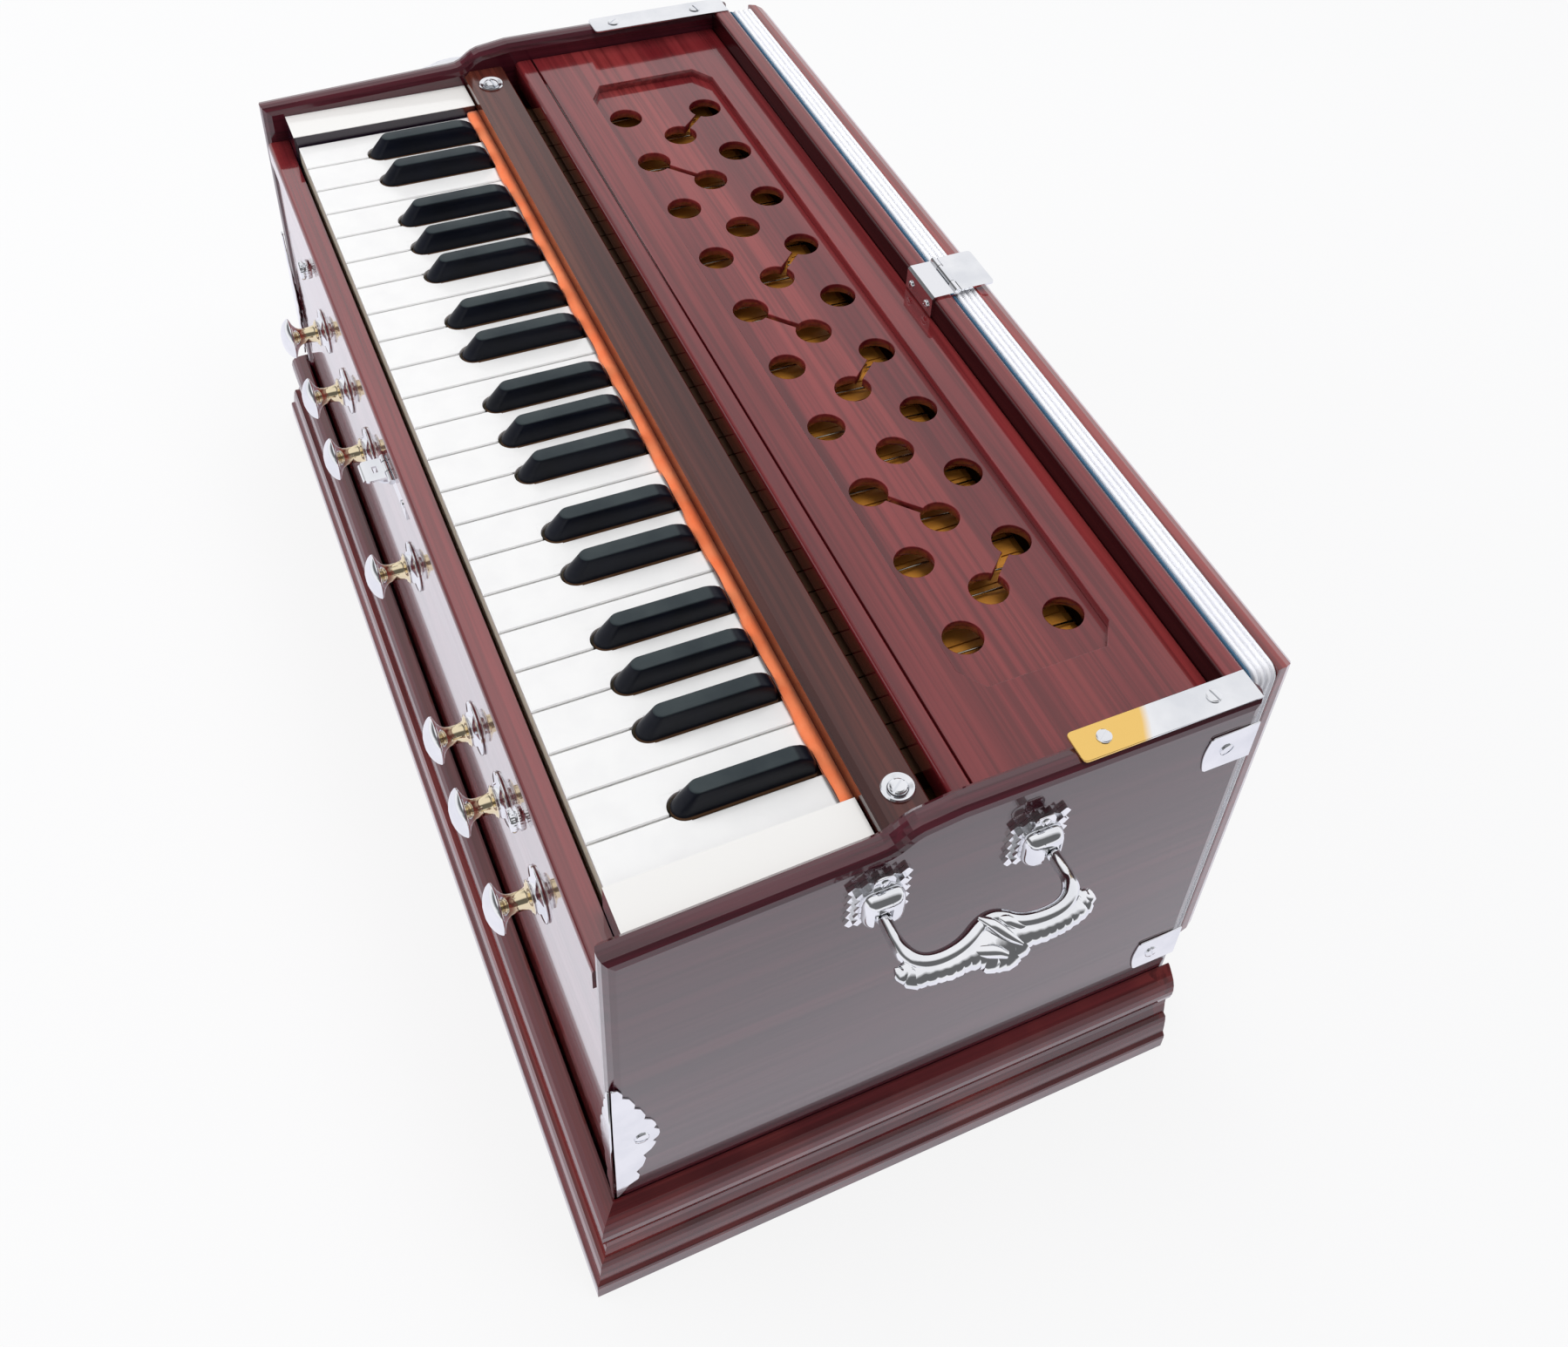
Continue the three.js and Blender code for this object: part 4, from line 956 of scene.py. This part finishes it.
def build_cap(form, middle):
    rings = []
    for z, front, back, half in CAP_LEVELS:
        nose = half * NOSE
        corner = min(half * 0.35, 1.6)
        turns = [math.radians(a) for a in range(0, 181, 15)]
        outline = [
            (half * math.cos(a), front + nose - nose * math.sin(a)) for a in turns
        ]
        outline += arc((-half + corner, back - corner), corner, 180, 90, 3)
        outline += arc((half - corner, back - corner), corner, 90, 0, 3)
        rings.append([form.verts.new(at(middle + x, y, z)) for x, y in outline])
    skin(form, rings)


def build_lever(form, solid, middle):
    """The lever under a black cap: the solid cut flat on top and round in front."""
    form.from_mesh(solid)
    bmesh.ops.remove_doubles(form, verts=form.verts, dist=1e-6)
    half = max(v.co.x / MM for v in form.verts if v.co.z < 230 * MM) - middle
    cut_off(form, at(0, 0, LEVER_TOP), (0, 0, 1))
    for degrees in (15, 35, 55, 75, 105, 125, 145, 165):
        c, s = math.cos(math.radians(degrees)), math.sin(math.radians(degrees))
        spot = at(middle + half * c, CAP_FRONT + NOSE * half * (1 - s), 0)
        cut_off(form, spot, (c, -s / NOSE, 0))


polish = Finish("black_polish")
here = polish.place()
level = polish.parts(here)[2]
cloud = polish.noise(here, 55.0, 3.0)
brush = polish.noise(polish.stretched(here, (900.0, 30.0, 500.0)), 1.0, 2.0)
clouded = cloud.ramp((0.3, 0.0), (0.7, 1.0))
# Painted light: the sides are darker and the top lighter, as light falls from above
sides = polish.blend(clouded, rgb(5, 8, 18), rgb(11, 15, 28))
top = polish.blend(clouded, rgb(42, 50, 54), rgb(56, 64, 66))  # painted light, lighter where light falls
face = polish.blend(level.above(0.2433, 0.0002), sides, top)
black_polish = polish.surface(
    colour=polish.blend(level.above(0.2328, 0.0003), rgb(126, 92, 66), face),
    rough=brush.ramp((0.3, 0.3), (0.7, 0.45)), coat=0.06, coat_rough=0.15, gloss=0.2,
    normal=polish.bump(brush * 0.5 + cloud, 0.12, 0.0003),
)

cap_middles = {}
for k, name in enumerate(key_names):
    if "sharp" not in name:
        continue
    solid = nodes[name].data
    top = [v.co.x for v in solid.vertices if v.co.z > 0.2425]
    cap_middles[k] = (min(top) + max(top)) / 2 / MM
    cap = mesh_piece("black_cap_" + str(k + 1), build_cap, cap_middles[k])
    finish_piece(cap, black_polish, name)
    cap.data.set_sharp_from_angle(angle=math.radians(32))
    lever = mesh_piece("black_key_lever_" + str(k + 1), build_lever, solid, cap_middles[k])
    finish_piece(lever, black_cap, name, smooth=False)
    for piece in (cap, lever):
        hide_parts(name)
print("cap and lever faces:", len(cap.data.polygons), len(lever.data.polygons))

# %% [markdown]
# A white cap is not cut square round a black key: the notch is round in front, like the
# nose that stands in it. The solids have a square notch, so each white key gets small
# corner pieces that fill it up to half an ellipse.

# %% Round notches
NOTCH_FRONT, CORNER_FRONT = 46.5, 45.2  # tip of the half ellipse, front of a corner piece


def notch_corner(wall, rim, middle):
    """From the side wall of a notch, round its front and on to the rim of the key."""
    half = abs(middle - wall)
    into_key = wall - math.copysign(1.2, middle - wall)
    curve = []
    for k in range(15):
        x = wall + (rim - wall) * (1 - math.cos(math.pi / 2 * k / 14))
        bow = 1 - math.sqrt(max(0.0, 1 - ((x - middle) / half) ** 2))
        curve.append((x, NOTCH_FRONT + NOSE * half * bow))
    return curve + [(rim, CORNER_FRONT), (into_key, CORNER_FRONT), (into_key, curve[0][1])]


notched = 0
for k, name in enumerate(key_names):
    if "sharp" in name:
        continue
    points = [v.co / MM for v in nodes[name].data.vertices]
    head = [p.x for p in points if p.y + FRONT < 20]
    neck = [p.x for p in points if 90 < p.y + FRONT < 100]
    corners = [
        notch_corner(pick(neck), pick(head) - side * 0.3, cap_middles[k + side])
        for side, pick in ((-1, min), (1, max)) if k + side in cap_middles
    ]
    if corners:
        fillet = cut_plate("key_notch_" + str(k + 1), corners, 231.1, 233.46, 0.05)
        finish_piece(fillet, white_cap, name, smooth=False)
        notched += 1
print("round notches on", notched, "keys")

# %% [markdown]
# The handles. A bail of round bar turns in two lugs and carries a cast grip: two
# leaves that meet in the middle, where one curls over the other in an S. Each is
# a tube along a path, with its own width and thickness at every step, and a small
# ripple runs along the outer edge of the leaves.


# %% Tubes
def tube(form, path, widths, heights, up=(0, 0, 1), sides=20):
    """A tube along a path in millimetres; width lies across it, height along up."""
    up = Vector(up)
    path = [Vector(p) for p in path]
    rings = []
    for k, point in enumerate(path):
        ahead = path[min(k + 1, len(path) - 1)] - path[max(k - 1, 0)]
        across = ahead.cross(up).normalized()
        rise = across.cross(ahead).normalized()
        rings.append([
            form.verts.new(at(
                *(point + across * (widths[k] * c) + rise * (heights[k] * s))
            ))
            for c, s in wheel(sides)
        ])
    skin(form, rings)


# Middle line of the bail, as (outwards, along the panel), from one pin to the other
BAIL = [
    (297.4, 105.2), (302.0, 105.2), (307.0, 105.1), (311.5, 105.2), (315.4, 106.1),
    (318.6, 108.2), (320.8, 111.6), (321.6, 116.0), (321.4, 121.0), (320.4, 126.0),
    (318.6, 130.6), (316.2, 134.8), (314.5, 139.0), (314.3, 143.0), (316.0, 146.6),
    (318.8, 149.6), (320.6, 153.6), (321.4, 159.0), (321.4, 164.6), (320.4, 169.6),
    (318.2, 173.6), (315.0, 176.4), (311.2, 177.8), (307.0, 177.9), (302.0, 177.8),
    (297.4, 177.8),
]
# Outer edge of the leaves: place along the panel and how far out they reach
LEAF = [
    (99.4, 321.0), (101.5, 324.0), (105.5, 327.4), (112.0, 328.4), (119.0, 329.2),
    (126.0, 328.6), (130.5, 329.2), (136.0, 332.2), (141.0, 332.8), (146.0, 331.6),
    (151.5, 328.6), (158.0, 329.2), (165.0, 328.8), (172.0, 327.6), (177.5, 325.6),
    (181.0, 323.0), (183.0, 320.4),
]
# Where the leaves meet, three lobes curl over each other: path, height and girth
LOBES = [
    ([(320.6, 122.0), (322.6, 127.5), (324.4, 133.0), (326.0, 138.0), (328.6, 141.6)],
     2.0, [0.5, 2.2, 3.0, 3.0, 1.5]),
    ([(313.6, 136.6), (316.4, 139.0), (320.0, 141.8), (323.8, 144.6), (327.6, 148.4)],
     3.2, [1.0, 2.2, 2.6, 2.2, 0.7]),
    ([(315.4, 143.4), (317.6, 146.0), (320.4, 149.4), (323.2, 153.4), (325.4, 158.6)],
     2.0, [1.2, 2.6, 2.8, 2.2, 0.5]),
]


def between(table, t):
    """Reads a value from (place, value) pairs with a smooth step between them."""
    for (a, low), (b, high) in zip(table, table[1:]):
        if t <= b:
            u = (t - a) / (b - a)
            return low + (high - low) * u * u * (3 - 2 * u)
    return table[-1][1]


def rounded_path(points, rounds=2):
    """A path with its corners cut again and again, which bends it smoothly."""
    for _ in range(rounds):
        out = [points[0]]
        for a, b in zip(points, points[1:]):
            out.append(tuple(p * 0.75 + q * 0.25 for p, q in zip(a, b)))
            out.append(tuple(p * 0.25 + q * 0.75 for p, q in zip(a, b)))
        points = out + [points[-1]]
    return points


print("bail points:", len(rounded_path(BAIL)))

# %% [markdown]
# A handle is the bail, an eye round each pin, one tube for both leaves and the lobes
# between them. The sign of x makes it for one end of the case or the other.

# %% Handles
HANDLE_HEIGHT, PIVOT_OUT = 226.0, 295.4  # the pins' line, and how far out it is
BAR_GIRTH = [(297.4, 2.9), (308.0, 3.0), (316.0, 3.6)]  # thinner where the hoods are
LEAF_GIRTH = [(0, 0.9), (3, 2.3), (10, 2.8), (30, 3.0)]  # by the distance to a tip
EYE = [(0, 0), (3.1, 0), (3.3, 0.3), (3.3, 5.6), (3.1, 5.9), (0, 5.9)]


def build_handle(form, sign):
    def place(x, y, z=0.0):
        return (sign * x, y, HANDLE_HEIGHT + z)

    path = rounded_path(BAIL)
    girth = [between(BAR_GIRTH, x) for x, y in path]
    tube(form, [place(*p) for p in path], girth, girth, sides=24)
    for x, y in (BAIL[0], BAIL[-1]):
        turn(form, EYE, at(*place(PIVOT_OUT, y - 2.95)), (0, 1, 0), 28)
    inner = sorted((y, x) for x, y in path if x > 314.0)
    start, end = LEAF[0][0], LEAF[-1][0]
    steps = 120
    leaf, widths, heights = [], [], []
    for k in range(steps + 1):
        y = start + (end - start) * k / steps
        rim = between(LEAF, y) - 0.35 * (1 + math.sin(y * 1.9))
        to_tip = min(y - start, end - y)
        back = between(inner, min(max(y, inner[0][0]), inner[-1][0]))
        if to_tip < 8:
            back = max(back, rim - 2.6 - to_tip * 1.3)
        # The leaf starts inside the bar and droops towards its outer edge
        half = (rim - back) / 2
        leaf.append(place(back + half + 0.2, y, -0.30 * half))
        widths.append(max(half + 0.4, 0.8))
        heights.append(between(LEAF_GIRTH, to_tip))
    tube(form, leaf, widths, heights, up=(sign * 0.42, 0, 0.91), sides=36)
    for line, rise, girth in LOBES:
        fine = rounded_path([(x, y, g) for (x, y), g in zip(line, girth)])
        lobe = [place(x, y, rise - 0.42 * max(0.0, x - 318.0)) for x, y, _ in fine]
        tube(form, lobe, [g for *_, g in fine], [g * 0.8 for *_, g in fine])


for side, sign in ENDS:
    handle = mesh_piece(side + "_bail_and_grip", build_handle, sign)
    finish_piece(handle, bright_chrome, side + "_handle")
    handle.data.set_sharp_from_angle(angle=math.radians(60))
    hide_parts(side + "_handle")
print("handle faces:", len(handle.data.polygons))

# %% [markdown]
# Over the boss of each lug goes a pressed hood, round shouldered, with a gap for the
# arm. The hood is half of a squared dome: rings of a squircle that shrink towards the
# top, without the faces in the gap.


# %% Lug hoods
def squircle(half, c, s, power=4.0):
    size = half / ((abs(c) ** power + abs(s) ** power) ** (1 / power))
    return size * c, size * s


HOOD_FOOT = 291.86
HOOD_LEVELS = [(0.0, 9.1), (1.5, 9.0), (3.6, 8.4), (5.2, 7.4), (6.2, 6.2), (6.7, 4.6),
               (6.9, 2.4)]  # out from the foot, half width
GAP_HALF, GAP_TOP = 3.7, HANDLE_HEIGHT + 3.8
HAIR = 0.01  # a face counts as in the gap when it is inside by this


def build_hood(form, sign, middle, arm):
    rings = []
    for out, half in HOOD_LEVELS:
        outline = [squircle(half, c, s) for c, s in wheel(72)]
        rings.append([
            form.verts.new(at(sign * (HOOD_FOOT + out), middle + y, HANDLE_HEIGHT + z))
            for y, z in outline
        ])
    skin(form, rings, closed=False)
    top = form.verts.new(at(sign * (HOOD_FOOT + 6.95), middle, HANDLE_HEIGHT))
    last = rings[-1]
    for a, b in zip(last, last[1:] + last[:1]):
        form.faces.new((a, b, top))
    for spot, across in (
        (at(0, arm - GAP_HALF, 0), (0, 1, 0)), (at(0, arm + GAP_HALF, 0), (0, 1, 0)),
        (at(0, 0, GAP_TOP), (0, 0, 1)),
    ):
        bmesh.ops.bisect_plane(form, geom=whole(form), plane_co=spot, plane_no=across)
    centres = [(f, f.calc_center_median()) for f in form.faces]
    gap = [
        f for f, c in centres
        if abs(c.y - depth(arm)) < (GAP_HALF - HAIR) * MM and c.z < (GAP_TOP - HAIR) * MM
    ]
    bmesh.ops.delete(form, geom=gap, context="FACES")


lugs = []  # name, sign, place of the arm along the panel, middle of the lug
for side, sign in ENDS:
    for which, end in (("_front", -1), ("_rear", 1)):
        arm = 141.5 + end * 36.3
        lugs.append((side + which, sign, arm, arm - end * 2.0))
for label, sign, arm, middle in lugs:
    hood = mesh_piece(label + "_hood", build_hood, sign, middle, arm)
    shell = hood.modifiers.new("sheet", "SOLIDIFY")
    shell.thickness = 0.35 * MM
    shell.offset = -1
    finish_piece(hood, bright_chrome, "case")
print("hoods made:", len(lugs))

# %% [markdown]
# The bellows are white pleated card and cloth, pressed flat behind the case. Each
# pleat is a rounded rectangle, and the rings draw in and out by turns.

# %% Bellows
cloth = Finish("bellows_card")
here = cloth.place()
weave = cloth.noise(here, 700.0, 2.0)
aged = cloth.noise(here, 14.0, 3.0).ramp((0.4, 0.0), (0.75, 0.6))
card = cloth.blend(aged, rgb(252, 252, 254), rgb(244, 244, 250))
# Painted shadow: a blue-grey line in the first crease, next to the case
crease_shadow_line = cloth.parts(here)[1].below(depth(279.3), 0.0002)
bellows_white = cloth.surface(
    colour=cloth.blend(crease_shadow_line, card, rgb(66, 104, 132)),
    rough=0.62, gloss=0.35, normal=cloth.bump(weave, 0.1, 0.0003),
)
PACK_FRONT, PACK_BACK = 277.8, 290.3
FOLDS, RINGS_PER_FOLD, FOLD_DEPTH = 4, 8, 5.0


def rounded_ring(half, low, high, corner):
    right, top, bottom = half - corner, high - corner, low + corner
    centres = [(right, top), (-right, top), (-right, bottom), (right, bottom)]
    return [
        point for k, centre in enumerate(centres)
        for point in arc(centre, corner, 90 * k, 90 * k + 90, 8)
    ]


def build_bellows(form):
    rings = []
    for k in range(FOLDS * RINGS_PER_FOLD + 1):
        share = k / (FOLDS * RINGS_PER_FOLD)
        inset = FOLD_DEPTH * (0.5 - 0.5 * math.cos(2 * math.pi * share * FOLDS)) ** 5.0
        y = PACK_FRONT + (PACK_BACK - PACK_FRONT) * share
        corner = max(6.0 - inset * 0.4, 1.5)
        outline = rounded_ring(277.0 - inset, 58.2 + inset, 260.0 - inset, corner)
        rings.append([form.verts.new(at(x, y, z)) for x, z in outline])
    skin(form, rings)


bellows = mesh_piece("bellows_pleats", build_bellows)
finish_piece(bellows, bellows_white)
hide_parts("bellows_folds")
at(0, 277.8, 150)
at(0, 290.3, 150)
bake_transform(bellows)
print("pleat faces:", len(bellows.data.polygons))

# %% [markdown]
# Thin chrome plates guard the corners. One lies along the rear top of each end panel,
# with its two front corners rounded, and is held by slotted screws. The one at the
# treble end has a painted reflection, brass-yellow, over its front.

# %% Top plates
for side, sign in ENDS:
    x0, x1 = sorted((sign * 272.2, sign * 287.0))
    y0, y1, corner = 192.2, 275.6, 2.4
    outline = arc((x0 + corner, y0 + corner), corner, 180, 270, 6)
    outline += arc((x1 - corner, y0 + corner), corner, 270, 360, 6)
    plate = cut_plate(side + "_top_plate", [outline + [(x1, y1), (x0, y1)]], 261.04, 262.14)
    # The treble plate's finish paints a brass-yellow reflection over its front
    plate_chrome = reflection_painted_chrome if side == "treble" else bright_chrome
    finish_piece(plate, plate_chrome, "case", smooth=False)
    screw_set(
        side + "_top_screws",
        [at(sign * 279.3, 205.5, 262.12), at(sign * 279.2, 256.6, 262.12)], (0, 0, 1),
        3.3, 1.2,
    )
print("top plates made")

# %% [markdown]
# The other guards stand upright: small ones clasp the rear edges, a toothed one holds
# the foot of each front corner, and a tab with a small screw sits over each lug. Their
# outlines are drawn flat, and a matrix stands each up against the wood.


# %% Corner guards
def standing_plate(name, shape, thick, rows, place):
    """A plate that is cut flat, turned by a matrix's rows and moved into place."""
    plate = cut_plate(name, [shape], 0.0, thick, 0.2, front=0.0)
    plate.data.transform(Matrix.Translation(place) @ Matrix(rows).to_4x4())
    return finish_piece(plate, bright_chrome, "case", smooth=False)


def guard(name, outline, sign, face=288.04, thick=0.9):
    """A plate on an end panel, from (along the panel, up) pairs."""
    shape = [(y - FRONT, z) for y, z in outline]
    plate = standing_plate(
        name, shape, thick, ((0, 0, sign), (1, 0, 0), (0, 1, 0)), (sign * face * MM, 0, 0)
    )
    if sign < 0:
        plate.data.flip_normals()


def rear_guard(low, high):
    bulge = [
        (253.6 - 1.6 * math.sin(math.pi * k / 8), high - 1.2 - (high - low - 2.4) * k / 8)
        for k in range(9)
    ]
    return [(276.9, high), (255.0, high)] + bulge + [(255.0, low), (276.9, low)]


TIPS = [(10.6, 69.6), (9.8, 77.0), (13.4, 83.0), (13.0, 89.6), (18.0, 95.6),
        (17.2, 99.6), (20.2, 104.6), (17.6, 110.4), (18.2, 115.0), (13.6, 121.6),
        (13.2, 128.0), (9.6, 133.6), (8.8, 140.4), (5.0, 146.0), (3.6, 152.8),
        (0.6, 154.6)]
toothed = [(0.6, 60.0), (1.8, 60.4), (4.2, 63.4), (6.2, 67.0), TIPS[0]]
for a, b in zip(TIPS, TIPS[1:]):
    toothed += [((a[0] + b[0]) / 2 + 0.9, (a[1] + b[1]) / 2), b]

GUARD_FACE = 288.92
for side, sign in ENDS:
    guard(side + "_rear_guard_high", rear_guard(224.9, 247.0), sign)
    guard(side + "_rear_guard_low", rear_guard(69.0, 90.8), sign)
    guard(side + "_front_guard", toothed, sign)
    places = [(263.0, 236.0), (262.0, 79.4), (12.3, 106.2)]
    screw_set(
        side + "_guard_screws", [at(sign * GUARD_FACE, y, z) for y, z in places],
        (sign, 0, 0), 3.2, 1.3,
    )
    # The front guard goes round the corner, and is narrower there
    face = [(sign * (288.9 - y * 0.62), z) for y, z in toothed]
    standing_plate(
        side + "_front_guard_face", face[::-1] if sign > 0 else face, 0.9,
        ((1, 0, 0), (0, 0, -1), (0, 1, 0)), (0, depth(-0.04), 0),
    )
for label, sign, _, middle in lugs:
    half, shoulder = 4.6, 3.2
    outline = [(middle + y, z) for y, z in (
        (-half, 236.4), (half, 236.4), (half, 241.0), (shoulder, 243.6),
        (-shoulder, 243.6), (-half, 241.0),
    )]
    guard(label + "_tab", outline, sign, face=291.88, thick=1.0)
    screw_set(
        label + "_tab_screw", [at(sign * 292.92, middle, 239.9)], (sign, 0, 0), 2.1, 1.0
    )
print("corner guards and lug tabs made")

# %% [markdown]
# The last fasteners: two screws hold the latch to the rail, two the hasp's plate and
# six the bellows board's hinges, and a pair of knurled thumbscrews lets the front board
# out. The knurl is a turned rim whose radius steps in and out as it goes round.


# %% Last fasteners
RAIL_FACE, HASP_FACE = 265.58, 0.28
HINGE_FACE = 277.2 + 1.2 + 0.02  # rear wall, leaf of the hinge and a hair of air
LATCH_MIDDLE, HINGE_MIDDLE = 4, 167
screw_set(
    "latch_screws", [at(LATCH_MIDDLE + x, RAIL_FACE, 254.4) for x in (-8.2, 8.2)],
    (0, -1, 0), 2.2, 1.1,
)
screw_set(
    "hasp_screws", [at(6.5, HASP_FACE, 205.4), at(-20.0, HASP_FACE, 202.4)], (0, -1, 0),
    2.0, 0.9,
)
screw_set(
    "hinge_screws",
    [at(side * HINGE_MIDDLE + shift, HINGE_FACE, board_foot / MM - 2.8 - drop)
     for side in (-1, 1) for shift, drop in ((-15, 15), (0, 10), (15, 15))],
    (0, 1, 0), 2.3, 1.0,
)
THUMBSCREW = (  # place behind the front, radius, depth of the knurl
    (1.45, 3.0, 0), (0.3, 3.0, 0), (0.2, 5.0, 0), (-0.6, 5.3, 0.22), (-2.0, 5.3, 0.22),
    (-2.6, 4.6, 0), (-3.0, 4.4, 0), (-3.6, 5.2, 0.22), (-5.0, 5.2, 0.22),
    (-5.6, 4.7, 0), (-5.8, 2.0, 0),
)


def build_thumbscrew(form, x, z):
    rings = []
    for y, size, knurl in THUMBSCREW:
        sizes = [(size - knurl * (k % 3 == 0), c, s) for k, (c, s) in enumerate(wheel(72))]
        rings.append([form.verts.new(at(x + r * c, y, z + r * s)) for r, c, s in sizes])
    skin(form, rings)


for label, x in (("near", 190.0), ("far", -184.0)):
    knurled = mesh_piece(label + "_thumbscrew", build_thumbscrew, x, 203.4)
    finish_piece(knurled, bright_chrome, "case")
    knurled.data.set_sharp_from_angle(angle=math.radians(40))
print("fasteners made")
